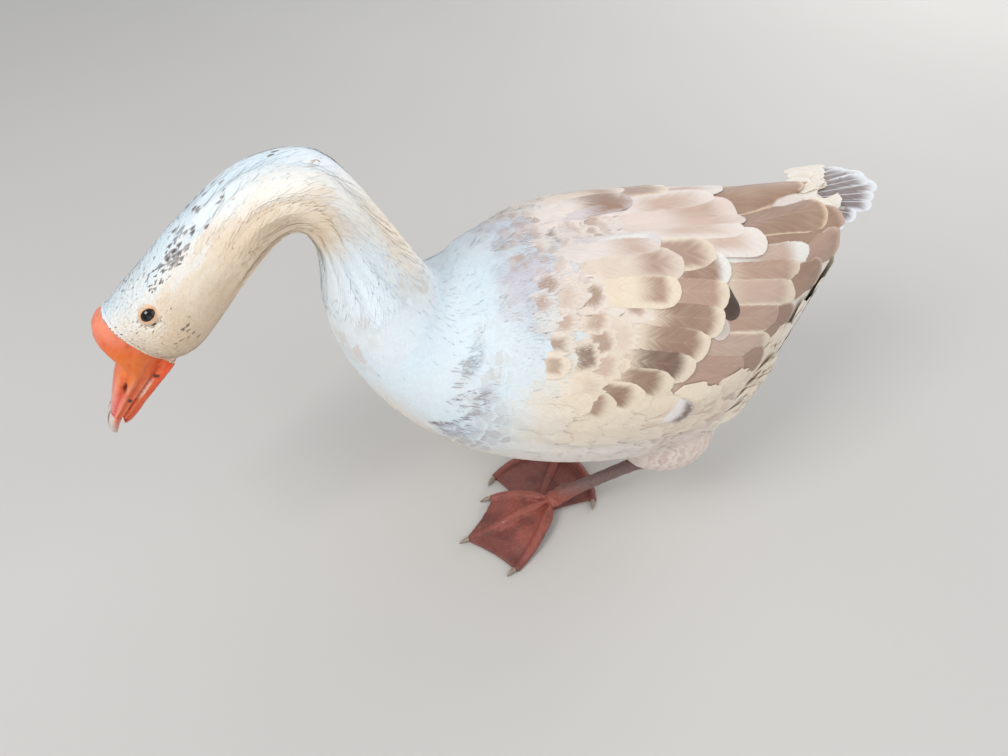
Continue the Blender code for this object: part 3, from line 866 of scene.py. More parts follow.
def bill_tint(forward, left, up):
    along, round_ = bill_way(forward, left, up)
    spot = Vector((forward, left * 2, up))
    tone = mixed(paint(236, 138, 108), paint(230, 98, 40), smooth(0.06, 0.26, along))
    tone = mixed(tone, paint(234, 124, 48), hump(0.4, 0.28, along) * hump(0.4, 0.5, round_) * 0.7)
    tone = mixed(tone, paint(232, 122, 124), smooth(0.5, 0.85, along) * smooth(0.7, 0.2, round_) * 0.9)
    tone = mixed(tone, paint(206, 82, 50), smooth(1.3, 1.7, round_) * 0.8)
    # painted light on the bill's ridges: their tops painted paler as a painted highlight, the grooves between
    # painted darker as painted shade
    lines = 0.5 + 0.5 * math.sin(round_ * 16 + 0.8 * noise.noise(Vector((forward, left, up)) / 12))
    above = smooth(1.4, 1.1, round_)
    tone = mixed(tone, paint(238, 168, 140), lines ** 4 * smooth(0.4, 0.6, along) * above * 0.6)
    tone = mixed(tone, paint(172, 50, 30), (1 - lines) ** 6 * smooth(0.35, 0.6, along) * above * 0.5)
    # a pale patch just below the mouth line: the lower bill's pale edge, with a painted highlight on it
    tone = mixed(tone, paint(238, 204, 184), hump(1.22, 0.16, round_) * hump(0.62, 0.12, along) * 0.95)
    # the mouth line: the edge's own dark red, with painted shade of the gap between upper and lower bill
    tone = mixed(tone, paint(168, 50, 28), hump(1.02, 0.09, round_) * smooth(0.3, 0.5, along) * 0.45)
    tone = mixed(tone, paint(198, 70, 36), smooth(0.1, 0.5, noise.noise(spot / 5)) * 0.3)
    for spot_forward, spot_up, wide, tall in BILL_SPOTS:
        away = math.hypot((forward - spot_forward) / wide, (up - spot_up) / tall)
        tone = mixed(tone, paint(30, 14, 12), 1 - smooth(0.6, 1.3, away))
    # the nostril slit painted dark as painted shade inside the opening
    return mixed(tone, paint(96, 26, 16), nostril(forward, up) * 0.9)


def nail_shape(forward, left, up, facing):
    return 0.5 + 0.6 * smooth(198, 188, up) - 0.9 * smooth(182, 176, up)


def nail_tint(forward, left, up):
    tone = mixed(paint(232, 212, 202), paint(226, 214, 200), smooth(196, 178, up))
    behind = smooth(359.5, 357.0, forward - 0.25 * (190 - up)) * smooth(177, 180, up)
    tone = mixed(tone, paint(228, 112, 84), behind)
    stripe = hump(4.6, 2.2, abs(left)) * smooth(198, 193, up) * smooth(182, 187, up)
    return mixed(tone, paint(30, 26, 28), min(1.0, stripe * 1.6) * (1 - behind))


bill = bill_finish()
piece_of(["bill_upper", "bill_lower"], "bill", 0.0006, 18, bill, bill_shape, bill_tint, 0.003)
piece_of(["bill_nail"], "nail", 0.0005, 6, nail_finish(), nail_shape, nail_tint)


# ---------------------------------------------------------------- legs

def foot_shape(forward, left, up, facing):
    """Creases and pads, which leave the sole's flats alone."""
    spot = Vector((forward, left, up))
    if up < 1.0:
        return 0.0
    pads = 0.35 * noise.noise(spot / 5) * smooth(1.0, 3.0, up)
    return pads + 0.2 * noise.noise(spot / 2.2) * smooth(2.0, 5.0, up)


def foot_tint(forward, left, up):
    tone = mixed(paint(136, 76, 66), paint(158, 84, 72), smooth(4, 8, up))
    tone = mixed(tone, paint(172, 96, 80), smooth(9, 16, up) * (1 - smooth(18, 30, up)) * 0.8)
    tone = mixed(tone, paint(134, 108, 102), smooth(20, 42, up))
    patchy = noise.noise(Vector((forward, left, up)) / 13)
    return mixed(tone, paint(92, 40, 40), smooth(0.0, 0.5, patchy) * 0.5 * (1 - smooth(10, 25, up)))


feet = foot_finish()
claws = claw_finish()
for side in ("left", "right"):
    piece_of([f"shank_{side}", f"foot_{side}"], f"leg_{side}", 0.0009, 5, feet, foot_shape, foot_tint)
    for toe in ("inner", "middle", "outer"):
        piece_of([f"claw_{side}_{toe}"], f"nail_{side}_{toe}", 0.0004, 3, claws,
                 None, lambda *spot: paint(180, 160, 140))


# ---------------------------------------------------------------- feathers of the face and neck

HAIR = Blade(2, 3, root=0.7, belly=0.5, tip=1.6, point=0.55)
STRAND = Blade(2, 4, root=0.6, belly=0.4, tip=1.8, point=0.5)
SOFT = Blade(6, 4, root=0.5, belly=0.45, tip=1.0, ragged=0.16)
FRINGED = Blade(14, 8, root=0.4, belly=0.4, tip=1.1, ragged=0.13)
BROAD = Blade(12, 14, root=0.4, belly=0.35, tip=1.0, ragged=0.012)
LOCK = Blade(2, 6, root=0.7, belly=0.3, tip=1.6, point=0.8)
# How near (mm) the middle of an eye the root of a feather, its tip or a dark fleck may come.
EYE_CLEAR, TIP_CLEAR, FLECK_CLEAR = 6.0, 5.8, 13
STRANDS = 84


def shared(first, last, place):
    return (place - first) / (last - first)


def lay_face():
    coat = Coat("face_feathers", HAIR)

    def hair(root, way, where, turn, length, width, low, high):
        ground = pale(where, turn) * luck.uniform(0.97, 1.02)
        dark = luck.random() < flecks(where, turn) and not near_eye(root, FLECK_CLEAR)
        middle = mixed(ground, SOOT, luck.uniform(0.5, 1.0)) if dark else ground
        coat.lay(root, way, length, width, low, high, ground, middle, (0.0, 0.3, 0.2, 0.0),
                 ((turn + 180) / 360, shared(25.2, 21.4, where)), crown=0.05, thick=0.06, tuck=0.03)

    for number, place in enumerate(steps(24.9, 21.4, 1.5, 90)):
        for angle in round_ring(place, 1.55, -180, 180, (number % 2) / 2):
            where = place + luck.uniform(-0.05, 0.05)
            turn = angle + luck.uniform(-1.5, 1.5)
            root = on_body(where, turn)
            way = lie(where, turn, luck.uniform(-6, 6))
            size = 1.0 + 0.5 * smooth(23.5, 21.6, place)
            length = luck.uniform(4.0, 6.0) * size
            if near_eye(root, EYE_CLEAR) or near_eye(root + way * length / 1000, TIP_CLEAR):
                continue
            width = luck.uniform(2.1, 2.6) * size
            hair(root, way, where, turn, length, width, -0.4, luck.uniform(-0.14, -0.06))
    for angle in np.arange(-180, 180, 1.5):
        for row in range(3):
            where, turn = 24.79 + 0.045 * row, angle + luck.uniform(-1, 1)
            way = -lie(where, turn, luck.uniform(-12, 12))
            length, high = luck.uniform(1.6, 2.8), luck.uniform(0.0, 0.15)
            hair(on_body(where, turn), way, where, turn, length, 0.95, 0.0, high)
    coat.made(plumage("face_feathers", 6, 0.0002, 0.62, 0.03), "feathers")


def lay_neck():
    coat = Coat("neck_feathers", STRAND)
    for strand in range(STRANDS):
        base = -180 + 360 * strand / STRANDS
        for place in steps(22.0, 12.4, 4.6, 90):
            where = place + luck.uniform(-0.12, 0.12)
            angle = base + 7 * math.sin(place * 0.9) * math.sin(math.radians(base)) + luck.uniform(-0.8, 0.8)
            _, rise, half = ring(where)
            round_mm = math.tau * math.sqrt((rise.length ** 2 + half ** 2) / 2) * 1000
            width = round_mm / STRANDS * 2.3
            turn = math.tau * strand / STRANDS
            wave = noise.noise(Vector((math.cos(turn) * 4.5, math.sin(turn) * 4.5, place * 0.35)))
            grow, end = smooth(21.7, 20.3, where) * smooth(12.6, 14.2, where), smooth(13.6, 12.6, where)
            furrow = 1.35 * wave * grow
            # painted light on the furrows: strands the furrow raises are painted lighter, those sunk in it
            # darker as painted shade
            ground = pale(where, angle) * luck.uniform(0.98, 1.02) * (1 + 0.2 * wave * grow)
            strength, tone = brownness(where, angle)
            middle = mixed(ground, tone, strength * luck.uniform(0.3, 1.0))
            lift, length = 0.0, luck.uniform(12, 16)
            if luck.random() < flecks(where, angle) * 0.8:
                middle = mixed(ground, SOOT, luck.uniform(0.6, 1.0))
                lift, length, width = 0.2, 8.0, width * 0.5
            low, high = furrow + lift - 0.5 - 0.6 * end, furrow + lift - 0.12 - 0.9 * end
            coat.lay(on_body(where, angle), lie(where, angle), length, width, low, high, ground, middle,
                     (0.05, 0.3, 0.4, 0.0), ((angle + 190) / 380, shared(21.8, 12.2, where)),
                     crown=0.06, thick=0.06, tuck=0.03)
    coat.made(plumage("neck_feathers", 9, 0.0003, 0.62, 0.05), "feathers")


# ---------------------------------------------------------------- feathers of the body

def lay_tract(coat, first, last, gap, spread, length, width, low, high, angles, lean=0.0, side=90, crown=0.15,
              form=(0.35, 0.3, 0.5, 0.0), keep=None, jitter=1.0, tuck=0.2, curl=0.0, thick=0.14,
              tone=None):
    """Rows of body feathers between two places, each row staggered against the last."""
    for number, place in enumerate(steps(first, last, gap, side)):
        for angle in round_ring(place, spread, *angles, (number % 2) / 2):
            where = place + luck.uniform(-0.05, 0.05) * jitter
            turn = angle + luck.uniform(-1.2, 1.2) * jitter
            if keep and not keep(where, turn):
                continue
            way = lie(where, turn, (lean if turn > 0 else -lean) + luck.uniform(-3, 3))
            ground = (pale(where, turn) if tone is None else tone) * luck.uniform(0.98, 1.015)
            strength, brown = brownness(where, turn)
            middle = mixed(ground, brown, strength * luck.uniform(0.7, 1.1))
            size = luck.uniform(0.9, 1.15)
            shape = form
            if strength >= 0.15:
                shape = (luck.uniform(0.2, 0.4), 0.2, luck.uniform(0.25, 0.45), 0.0)
            coat.lay(on_body(where, turn), way, length * size, width * size, low,
                     high + luck.uniform(-0.1, 0.1), ground, middle, shape,
                     ((angle + 180) / 360, shared(first, last, place)), crown=crown, tuck=tuck, curl=curl,
                     thick=thick, sweep=luck.uniform(-0.1, 0.1))


def hollow(place, angle):
    """True in the dip between neck and shoulders, where the feathers are short and narrow."""
    return place > 9.6 and abs(angle) < 58


def lay_breast():
    coat = Coat("breast_feathers", SOFT)
    form, all_round = (0.12, 0.5, 0.45, 0.0), (-180, 180)
    lay_tract(coat, 13.3, 12.9, 6.5, 7.5, 20, 11, -1.0, -0.3, all_round, form=(0.1, 0.6, 0.5, 0.0), thick=0.1)
    lay_tract(coat, 12.9, 8.35, 6.5, 7.5, 23, 12.5, -0.7, -0.15, all_round, form=form, thick=0.1,
              keep=lambda place, angle: not hollow(place, angle))
    lay_tract(coat, 12.9, 9.5, 4.5, 4, 12, 6.5, -0.6, -0.1, (-60, 60), form=form, thick=0.1, side=70,
              crown=0.05, tuck=0.1, keep=hollow)
    coat.made(plumage("breast_feathers", 12, 0.0004, 0.66, 0.05), "feathers")


def lay_belly():
    coat = Coat("belly_feathers", SOFT)
    lay_tract(coat, 8.3, 2.6, 8, 9.5, 27, 14, -0.9, -0.1, (130, 230), side=120)
    coat.made(plumage("belly_feathers", 14, 0.0004, 0.68, 0.06), "feathers")


def lay_mantle():
    coat = Coat("mantle_feathers", SOFT)
    lay_tract(coat, 8.3, 6.4, 7.5, 9, 27, 14, -0.8, 0.1, (-24, 24), side=20, form=(0.05, 0.6, 0.45, 0.0))
    lay_tract(coat, 6.4, 3.3, 9, 9, 27, 15, -1.4, -0.4, (-9, 9), side=0, form=(0.3, 0.4, 0.45, 0.0))
    coat.made(plumage("mantle_feathers", 14, 0.0004, 0.62, 0.07), "feathers")


# tip (place, angle), length, width, brown, how strong: soft feathers of the wing and back with a brown middle
MARKED = (
    (6.05, 42, 34, 24, TAWNY, 1.0), (6.45, 22, 33, 24, BROWN, 0.8), (6.6, 37, 33, 25, BROWN, 1.0),
    (6.3, 29, 34, 26, CREAM, 0.6), (6.2, 13, 34, 26, BLUSH, 0.6), (6.35, 52, 32, 24, FAWN, 0.5),
    (6.8, 46, 32, 19, TAWNY, 0.9), (6.6, 50, 31, 18, BROWN, 0.8), (6.65, 63, 30, 24, FAWN, 0.9),
    (6.9, 55, 31, 22, UMBER, 0.9), (6.95, 68, 29, 22, FAWN, 0.4), (6.5, 4, 31, 24, TAWNY, 0.7),
    (6.75, 9, 30, 22, FAWN, 0.7), (6.85, 29, 31, 25, CREAM, 0.5), (7.0, 21, 30, 22, TAWNY, 0.4),
    (7.1, 43, 30, 16, TAWNY, 0.8), (7.05, 34, 30, 25, FAWN, 0.6), (7.25, 51, 29, 16, BROWN, 0.9),
    (7.4, 59, 28, 17, BROWN, 0.7), (6.8, -3, 29, 14, SOOT, 0.7), (7.1, 4, 29, 22, TAWNY, 0.6),
    # the last feather's middle is a painted bluish skylight cast, not a marking
    (7.2, 24, 29, 17, TAWNY, 0.8), (7.45, 31, 28, 18, FAWN, 0.9), (7.4, 40, 28, 22, SKYLIT_WHITE, 0.4),
)


def lay_coverts():
    coat = Coat("small_coverts", SOFT)
    for low, high in ((25, 79), (-79, -25)):
        lay_tract(coat, 8.3, 6.3, 8, 10, 27, 16, -0.9, -0.2, (low, high), side=45, form=(0.1, 0.5, 0.4, 0.0))
    coat.made(plumage("small_coverts", 14, 0.0004, 0.62, 0.05), "feathers")
    for sign, name in ((1, "left_coverts"), (-1, "right_coverts")):
        coat = Coat(name, FRINGED)
        for place, angle, length, width, brown, strength in MARKED:
            where, turn = place + luck.uniform(-0.06, 0.06), sign * angle
            end, way = on_body(where, turn), lie(where, turn, sign * luck.uniform(-12, 18))
            start = settled(end - way * (length / 1000))[0]
            ground = pale(where, turn) * luck.uniform(0.99, 1.01)
            coat.lay(start, (end - start).normalized(), length, width * luck.uniform(1.0, 1.2), -0.9,
                     0.2 + 0.1 * (place - 6), ground, mixed(ground, brown, strength * luck.uniform(0.85, 1)),
                     (luck.uniform(0.35, 0.55), luck.uniform(0.15, 0.25), luck.uniform(0.35, 0.55), 0.1),
                     (0.5 + angle / 170, shared(8.6, 5.9, place)), crown=0.12, thick=0.1, tuck=0.3,
                     target=end)
        coat.made(plumage(name, 26, 0.0004, 0.6, 0.06), "mottled_feathers")


BARB_FORM = (0.0, 0.3, 0.5, 0.0)


def fan(coat, place, angle, reach, count, tone, width=0.5, low=0.1, high=0.45, size=1.0):
    """Fine barbs that spread from about one place."""
    turned = luck.uniform(-8, 8)
    for number in range(count):
        share = number / (count - 1) - 0.5
        where, turn = place + luck.uniform(-0.05, 0.05), angle + share * 7 * size
        hue = tone * luck.uniform(0.95, 1.02)
        coat.lay(on_body(where, turn), lie(where, turn, turned + share * reach), luck.uniform(8, 13) * size,
                 width * luck.uniform(0.8, 1.3), low, high + luck.uniform(-0.1, 0.1), hue, hue,
                 BARB_FORM, (0.5 + angle / 360, shared(10, 5, place)), crown=0.05, thick=0.08, tuck=0.0)


def lay_wing_wisps():
    """Fine pale barbs spread over the brown middles, and over the edge between wing and breast."""
    coat = Coat("wing_wisps", LOCK)
    for place, angle, *_ in MARKED:
        for sign in (1, -1):
            tone = mixed(SNOW, CREAM, luck.uniform(0.1, 0.7))
            fan(coat, place + 0.2, sign * angle, luck.uniform(25, 50), 16, tone, 0.55, 0.9, 1.9, 1.3)
    for sign in (1, -1):
        fan(coat, 5.9, sign * 46, 110, 22, CREAM, 0.5, 0.5, 1.1)
        for _ in range(46):
            place, angle = luck.uniform(7.5, 8.7), sign * luck.uniform(2, 52)
            fan(coat, place, angle, 16, 8, mixed(LILAC, FAWN, luck.uniform(0.2, 0.8)), 0.6, 0.1, 0.3)
            turn = angle + luck.uniform(-3, 3)
            fan(coat, place - 0.2, turn, 20, 9, mixed(SNOW, LILAC, luck.uniform(0, 0.5)))
        for _ in range(30):
            place, angle = luck.uniform(7.1, 8.4), sign * luck.uniform(24, 76)
            fan(coat, place, angle, 30, 12, mixed(SNOW, pale(place - 0.4, angle), 0.6), 0.6, 0.35, 0.6, 1.3)
    coat.made(plumage("wing_wisps", 6, 0.0002, 0.6, 0.03), "feathers")


def lay_breast_wisps():
    """Rows of dark barbs at the ends of the breast feathers, with pale ones over them."""
    coat = Coat("breast_wisps", LOCK)
    for sign in (1, -1):
        for _ in range(34):
            angle, place = luck.uniform(46, 112), luck.uniform(8.95, 9.75)
            place += 0.35 * hump(40, 34, angle)
            dark = mixed(MAUVE, SOOT, luck.uniform(0, 0.3))
            # towards the back line the barbs take the painted bluish skylight cast
            tone = mixed(SKYLIT_WHITE, dark, smooth(25, 80, angle) * luck.uniform(0.5, 1))
            for bit in np.arange(0, luck.uniform(7, 15), 0.9):
                if luck.random() < 0.2:
                    continue
                where, turn = place + 0.02 * bit + luck.uniform(-0.05, 0.05), sign * (angle + bit)
                way = lie(where, turn, sign * luck.uniform(-22, 0))
                coat.lay(on_body(where, turn), way, luck.uniform(4, 9), luck.uniform(0.5, 1.0), 0.05,
                         luck.uniform(0.15, 0.35), tone, tone, BARB_FORM,
                         (0.5 + turn / 360, shared(10.5, 5, place)), crown=0.05, thick=0.08, tuck=0.0)
            fan(coat, place + 0.1, sign * (angle + luck.uniform(0, 12)), 24, 9, SNOW, 0.45)
    coat.made(plumage("breast_wisps", 6, 0.0002, 0.6, 0.03), "feathers")


# root and tip (place, angle), width, height of root and tip above the outline, ground, middle, form
FLIGHT = (
    # outer flight feathers, mostly under the others
    ((5.0, 44), (2.1, 61), 24, -3.2, -0.6, FAWN, TAWNY, (0.06, 0.05, 0.1, 0.1)),
    ((5.2, 50), (2.65, 71), 23, -3.2, -0.6, FAWN, BROWN, (0.06, 0.05, 0.1, 0.1)),
    ((5.4, 56), (3.45, 75), 22, -3.2, -0.6, FAWN, BROWN, (0.06, 0.05, 0.1, 0.1)),
    ((5.6, 62), (4.25, 78), 21, -3.2, -0.6, FAWN, BROWN, (0.06, 0.05, 0.1, 0.1)),
    # secondaries, from the lowest up
    ((6.6, 72), (5.2, 82), 17, -2.6, -1.2, BLUSH, FAWN, (0.25, 0.1, 0.3, 0.1)),
    ((6.4, 66), (4.85, 79), 17, -2.5, -1.1, CREAM, TAWNY, (0.18, 0.1, 0.3, 0.1)),
    ((6.3, 60), (4.4, 77), 18, -2.4, -1.0, BLUSH, TAWNY, (0.18, 0.1, 0.3, 0.1)),
    ((6.2, 54), (4.0, 74), 19, -2.3, -0.9, CREAM, FAWN * 0.93, (0.25, 0.1, 0.3, 0.1)),
    ((6.0, 47), (3.6, 70), 20, -2.2, -0.8, CREAM, TAWNY, (0.2, 0.12, 0.35, 0.1)),
    ((5.8, 39), (3.4, 61), 21, -2.1, -0.7, CREAM, FAWN * 0.93, (0.28, 0.12, 0.4, 0.1)),
    ((5.7, 30), (3.2, 52), 22, -2.0, -0.6, CREAM, TAWNY, (0.25, 0.12, 0.4, 0.1)),
    ((5.5, 28), (3.0, 45), 22, -1.9, -0.5, MILK, FAWN * 0.93, (0.4, 0.14, 0.45, 0.1)),
    # tertials
    ((5.3, 18), (1.95, 44), 32, -1.8, -0.1, FAWN, BROWN, (0.06, 0.05, 0.3, 0.1)),
    ((5.2, 8), (2.35, 25), 31, -1.5, 0.6, BUFF, BROWN, (0.05, 0.05, 0.2, 0.15)),
    # great coverts
    ((8.0, 70), (6.75, 77), 21, -1.8, 0.0, CREAM, TAWNY, (0.36, 0.15, 0.62, 0.0)),
    ((7.7, 67), (6.35, 74.5), 22, -1.7, 0.1, CREAM, BROWN, (0.36, 0.15, 0.45, 0.0)),
    ((7.3, 62), (5.95, 70.5), 23, -1.6, 0.2, CREAM, BROWN, (0.34, 0.15, 0.45, 0.0)),
    ((7.0, 56), (5.65, 65), 25, -1.5, 0.3, CREAM, UMBER, (0.3, 0.14, 0.4, 0.1)),
    ((6.8, 49), (5.45, 58), 26, -1.4, 0.4, CREAM, BROWN, (0.24, 0.14, 0.4, 0.1)),
    ((6.6, 42), (5.2, 50), 26, -1.3, 0.5, CREAM, BROWN, (0.2, 0.12, 0.4, 0.1)),
    ((6.4, 34), (5.05, 41), 26, -1.2, 0.6, CREAM, TAWNY, (0.22, 0.12, 0.4, 0.1)),
    ((6.2, 26), (4.9, 32), 26, -1.1, 0.7, MILK, BROWN, (0.26, 0.12, 0.4, 0.1)),
    # a dark gap: a feather painted near black as the shadow between coverts and secondaries, and shoulder
    # feathers over it
    ((5.4, 42), (5.2, 57), 14, -1.1, -0.4, BLUSH, ASH, (0.2, 0.2, 0.2, 0.0)),
    # painted shadow: this dark feather fills the gap
    ((5.2, 35), (5.0, 51), 14, -1.0, -0.3, UMBER * 0.5, UMBER * 0.3, (0.1, 0.2, 0.0, 0.0)),
    ((5.7, 17), (3.95, 25), 25, -0.6, 1.1, mixed(MILK, BLUSH, 0.5), FAWN, (0.5, 0.25, 0.4, 0.1)),
    ((6.0, 8), (4.25, 14), 25, -0.5, 1.3, mixed(MILK, BLUSH, 0.6), FAWN, (0.45, 0.3, 0.3, 0.1)),
    ((6.1, 3), (4.0, 5), 24, -0.4, 1.5, BLUSH, FAWN, (0.3, 0.2, 0.5, 0.1)),
    ((6.6, 21), (5.05, 24), 25, -0.6, 0.9, CREAM, TAWNY, (0.2, 0.2, 0.45, 0.0)),
    ((6.9, 31), (5.7, 37), 24, -0.5, 0.9, CREAM, TAWNY, (0.34, 0.14, 0.62, 0.0)),
    ((7.0, 21), (5.55, 27), 25, -0.4, 0.9, mixed(BLUSH, CREAM, 0.5), TAWNY, (0.34, 0.25, 0.62, 0.0)),
    ((7.3, 12), (5.7, 15), 22, -0.5, 0.8, mixed(BLUSH, LILAC, 0.5), MILK, (0.2, 0.3, 0.5, 0.0)),
    ((7.4, 13), (5.75, 17), 22, -0.5, 0.9, mixed(BLUSH, MILK, 0.4), FAWN, (0.2, 0.3, 0.66, 0.0)),
)


OUTER_CURL = (1.4, 1.4, 0.8, 0.8)  # how far the tips of the outer flight feathers bend away, in mm


def lay_wing(sign, name, node):
    coat = Coat(name, BROAD, 0.05)
    for number, (root, tip, width, low, high, ground, middle, form) in enumerate(FLIGHT):
        shift = luck.uniform(-0.06, 0.06) if sign < 0 else 0.0
        start = on_body(root[0] + shift, sign * root[1])
        end = on_body(tip[0] + shift, sign * tip[1])
        reach = (end - start).length * 1000
        tone = luck.uniform(0.96, 1.03)
        curl = OUTER_CURL[number] if number < len(OUTER_CURL) else 0.0
        if sign < 0 and number > len(FLIGHT) - 3:
            middle, form = BROWN, (0.05, 0.25, 0.6, 0.0)
        coat.lay(start, (end - start).normalized(), reach * 1.02, width * 1.15, low, high, ground * tone,
                 middle * luck.uniform(0.92, 1.06), form, ((number * 7 % 19) / 19, number / len(FLIGHT)),
                 crown=0.6, thick=0.3, tuck=0.3, target=end, curl=curl)
    coat.made(plumage(name, 46, 0.0004, 0.55, 0.08), "mottled_feathers", node)


def lay_flank():
    coat = Coat("flank_feathers", FRINGED)
    for low, high in ((80, 134), (-134, -80)):
        lay_tract(coat, 8.3, 4.2, 11, 11.5, 32, 19, -0.9, 0.2, (low, high), -4, side=100, crown=0.15,
                  form=(0.3, 0.2, 0.42, 0.0), thick=0.1, jitter=2.5)
    # a feather on each side with a dark middle, painted as the shadow in a gap between the flank feathers
    for sign in (1, -1):
        end, way = on_body(5.62, sign * 87), lie(5.62, sign * 87, 14 * sign)
        start = settled(end - way * 0.026)[0]
        coat.lay(start, (end - start).normalized(), 26, 23, -0.6, 1.0, mixed(BLUSH, SNOW, 0.6), UMBER * 0.7,
                 (0.16, 0.3, 0.62, 0.0), (0.5 + sign * 0.25, 0.6), crown=0.3, tuck=0.3, target=end)
    coat.made(plumage("flank_feathers", 20, 0.0004, 0.64, 0.06), "feathers")


def lay_thighs():
    """Soft feathers wherever a thigh bulges out of the body."""
    coat = Coat("thigh_feathers", SOFT)
    for side, sign in (("left", -1), ("right", 1)):
        low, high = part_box("thigh_" + side)
        for x in np.arange(low.x - 0.004, high.x, 0.0075):
            for turn in np.arange(-20, 110, 9):
                aim = Vector((0, sign * math.cos(math.radians(turn)), -math.sin(math.radians(turn))))
                centre = Vector((x, (low.y + high.y) / 2, (low.z + high.z) / 2))
                root = GUIDE.ray_cast(centre + aim * 0.12, -aim)[0]
                if root is None or (root - centre).length > 0.06:
                    continue
                tone = mixed(MILK, BLUSH, 0.75) * luck.uniform(0.97, 1.02)
                coat.lay(root, Vector((0.9, 0.1 * sign, -0.35)), luck.uniform(20, 25), 13, -0.9, 0.3, tone,
                         mixed(tone, mixed(FAWN, DOVE, 0.3), luck.uniform(0.2, 0.8)), (0.3, 0.2, 0.35, 0.0),
                         (shared(low.x, high.x, x), 0.5 + sign * turn / 300), crown=0.2, tuck=0)
    coat.made(plumage("thigh_feathers", 14, 0.0004, 0.68, 0.05), "feathers")


WING_EDGE, EDGE_FALL = 0.233, 0.72  # the folded wings' lower edge: its height at the middle, and its fall


def below_wing(point):
    """True under and behind the edge of the folded wing."""
    return point.z < WING_EDGE - EDGE_FALL * abs(point.y)


def lay_vent():
    """The soft white rear, its feathers running on towards the tail."""
    coat = Coat("vent_feathers", SOFT)
    down = mixed(MILK, CREAM, 0.45)

    def under(place, angle):
        return below_wing(on_body(place, angle)) and (place > 4.3 or abs(abs(angle) - 180) < 62)

    lay_tract(coat, 5.4, 2.1, 8, 9, 30, 17, -1.1, 0.1, (94, 266), side=130, jitter=2, tuck=0, curl=0.2,
              thick=0.1, tone=down, keep=under)
    for up in np.arange(60, 246, 8):
        for left in np.arange(-84, 85, 8):
            shift = 4 * (round(up / 8) % 2)
            root, normal, _, _ = GUIDE.ray_cast(at(-280, left + shift, up), Vector((-1, 0, 0)))
            if root is None or (HIPS - root.x) * 1000 > -95 or normal.x < 0.5 or not below_wing(root):
                continue
            tone = down * luck.uniform(0.99, 1.015)
            length = min(luck.uniform(26, 34), 12 + max(0, 0.238 - root.z) * 900)
            coat.lay(root, Vector((0.25, left / 160 + luck.uniform(-0.2, 0.2), 1)), length, 18, -1.0,
                     luck.uniform(0.0, 0.4), tone, tone, (0.3, 0.3, 0.5, 0.0), (0.5 + left / 200, up / 260),
                     crown=0.15, thick=0.1, tuck=0)
    coat.made(plumage("vent_feathers", 12, 0.0004, 0.75, 0.04), "feathers")
    coat = Coat("vent_down", SOFT)
    for _ in range(150):
        place, angle = luck.uniform(4.1, 5.0), luck.uniform(86, 112) * luck.choice([-1, 1])
        if not below_wing(on_body(place, angle)):
            continue
        tone = mixed(MILK, CREAM, luck.uniform(0.5, 0.9))
        way = lie(place, angle, luck.uniform(-12, 12))
        coat.lay(on_body(place, angle), way, luck.uniform(22, 30), 13, -0.8, luck.uniform(0.6, 2.4), tone,
                 tone, (0.2, 0.3, 0.5, 0.0), (0.5 + angle / 260, shared(5.4, 3.5, place)), crown=0.2,
                 thick=0.1, tuck=0, curl=luck.uniform(0, 1.6))
    coat.made(plumage("vent_down", 7, 0.0003, 0.75, 0.04), "feathers")


def lay_rump():
    """Soft pale feathers over the far side of the tail's root."""
    coat = Coat("rump_feathers", BROAD, 0.05)
    low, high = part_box("tail")
    for row in range(3):
        for left in np.linspace(-45, -12, 6):
            end = 0.247 - 0.6 * left / 1000 - 0.006 * (2 - row) + luck.uniform(-0.002, 0.002)
            length = luck.uniform(17, 21)
            root = Vector((end - length / 1000, (luck.uniform(-1, 1) - left) / 1000, high.z))
            tone = mixed(MILK, CREAM, luck.uniform(0.2, 0.6)) * luck.uniform(0.98, 1.02)
            coat.lay(root, Vector((1, 0.12, 0)), length, 15, -0.8, 0.9 - 0.25 * row, tone,
                     mixed(tone, FAWN, 0.2), (0.4, 0.3, 0.3, 0.2), (0.5 - left / 110, 0.3 * row), crown=0.3,
                     thick=0.1, tuck=0.3, settle=on_tail)
    coat.made(plumage("rump_feathers", 16, 0.0004, 0.66, 0.05), "feathers")


def on_tail(point):
    """Settles a point on the top of the tail, which droops to its sides."""
    low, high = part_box("tail")
    middle, half = (low + high) / 2, (high - low) / 2
    share = (point.y - middle.y) / half.y
    top = high.z - 0.0012 - 0.006 * share * share
    return Vector((point.x, point.y, top)), Vector((0.05, 0.35 * share, 1)).normalized()


def lay_tail():
    coat = Coat("tail_feathers", BROAD, 0.05)
    low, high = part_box("tail")
    middle, half = (low + high) / 2, (high - low) / 2
    count = 9
    for number in range(count):
        share = number / (count - 1) * 2.5 - 1.5
        order = 1 - abs(share) / 1.45
        root = Vector((low.x - 0.010, middle.y + share * half.y * 0.45, high.z))
        shorter = 0.021 * abs(share) ** 2.2 if share < 0 else 0.008 * share * share
        end = high.x - 0.0005 - shorter - 0.003 * (number % 2)
        tip = Vector((end, middle.y + share * (half.y - 0.005), high.z))
        dark = mixed(SLATE, UMBER, 0.25)
        coat.lay(root, tip - root, (tip - root).length * 1000, 19, -2.4, -1.8 + 1.8 * order, SNOW, dark,
                 (0.3, 0.2, -0.2, 1.0), (number / count, 0.5), crown=0.5, thick=0.3, tuck=0.0, settle=on_tail)
    coat.made(plumage("tail_feathers", 30, 0.0004, 0.55, 0.1), "mottled_feathers", "tail")


lay_face()
lay_neck()
lay_breast()
lay_belly()
lay_mantle()
lay_coverts()
lay_wing_wisps()
lay_breast_wisps()
lay_wing(1, "left_wing_feathers", "wing_left")
lay_wing(-1, "right_wing_feathers", "wing_right")
lay_flank()
lay_thighs()
lay_vent()
lay_rump()
lay_tail()


# ---------------------------------------------------------------- floor, light and camera

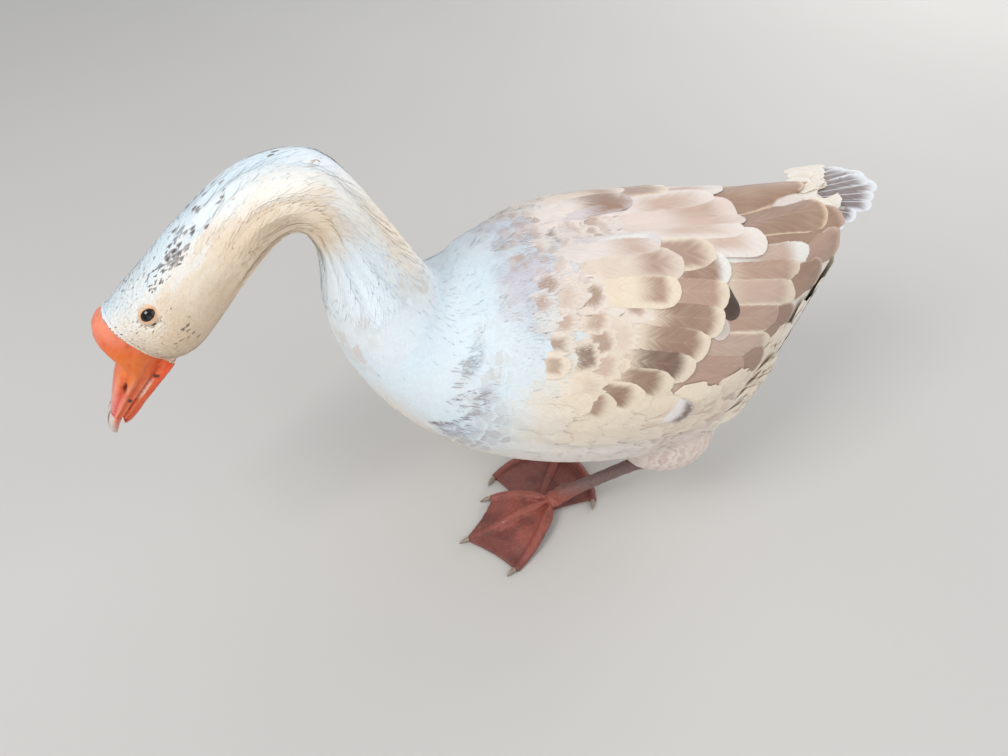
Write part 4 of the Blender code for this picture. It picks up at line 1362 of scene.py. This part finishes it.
FLOOR_RADIUS = 14
FLOOR_GAP = 0.0003  # under the sole
LAMP_AIM = Vector((0, 0, 0.18))
LAMPS = (  # name, place, power, size
    ("window", (-1.1, -0.6, 1.6), 17, 0.7),
    ("sky", (0.9, -1.0, 1.3), 6, 1.4),
    ("fill", (-0.4, -1.7, 0.4), 5, 1.4),
    ("behind", (1.3, 1.0, 0.9), 12, 1.4),
)
CAMERA_PLACE = Vector((-0.17607, -0.472, 0.629))
CAMERA_DOWN, CAMERA_ROUND, CAMERA_TILT = 43.94, 19.5, 1.95  # degrees
CAMERA_LENS, CAMERA_SENSOR, CAMERA_NEAR = 31.44, 36, 0.01
WORLD_COLOUR, WORLD_STRENGTH = (0.92, 0.95, 1.0, 1), 0.55


def make_floor():
    bm = bmesh.new()
    bmesh.ops.create_circle(bm, cap_ends=True, segments=96, radius=FLOOR_RADIUS)
    mesh = bpy.data.meshes.new("floor")
    bm.to_mesh(mesh)
    bm.free()
    mesh.transform(Matrix.Translation((0, 0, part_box("foot_right")[0].z - FLOOR_GAP)))
    mesh.materials.append(ground_finish())
    object_of(mesh, "floor")


def make_light(name, place, power, size):
    data = bpy.data.lights.new(name, "AREA")
    data.energy, data.size = power, size
    lamp = object_of(data, name)
    lamp.location = place
    lamp.rotation_euler = (LAMP_AIM - lamp.location).to_track_quat("-Z", "Y").to_euler()


def make_camera():
    data = bpy.data.cameras.new("camera")
    data.lens, data.sensor_width, data.clip_start = CAMERA_LENS, CAMERA_SENSOR, CAMERA_NEAR
    down, round_, tilt = (math.radians(turn) for turn in (CAMERA_DOWN, CAMERA_ROUND, CAMERA_TILT))
    ahead = Vector((math.sin(round_) * math.cos(down), math.cos(round_) * math.cos(down), -math.sin(down)))
    level = Vector((math.cos(round_), -math.sin(round_), 0))
    over = level.cross(ahead)
    right = level * math.cos(tilt) + over * math.sin(tilt)
    above = over * math.cos(tilt) - level * math.sin(tilt)
    camera = object_of(data, "camera")
    turned = Matrix((right, above, -ahead)).transposed().to_4x4()
    camera.matrix_world = Matrix.Translation(CAMERA_PLACE) @ turned
    bpy.context.scene.camera = camera


make_floor()
for lamp in LAMPS:
    make_light(*lamp)
world = bpy.data.worlds.new("studio")
world.use_nodes = True
world.node_tree.nodes["Background"].inputs["Color"].default_value = WORLD_COLOUR
world.node_tree.nodes["Background"].inputs["Strength"].default_value = WORLD_STRENGTH
bpy.context.scene.world = world
bpy.context.scene.view_settings.view_transform = "Standard"
make_camera()
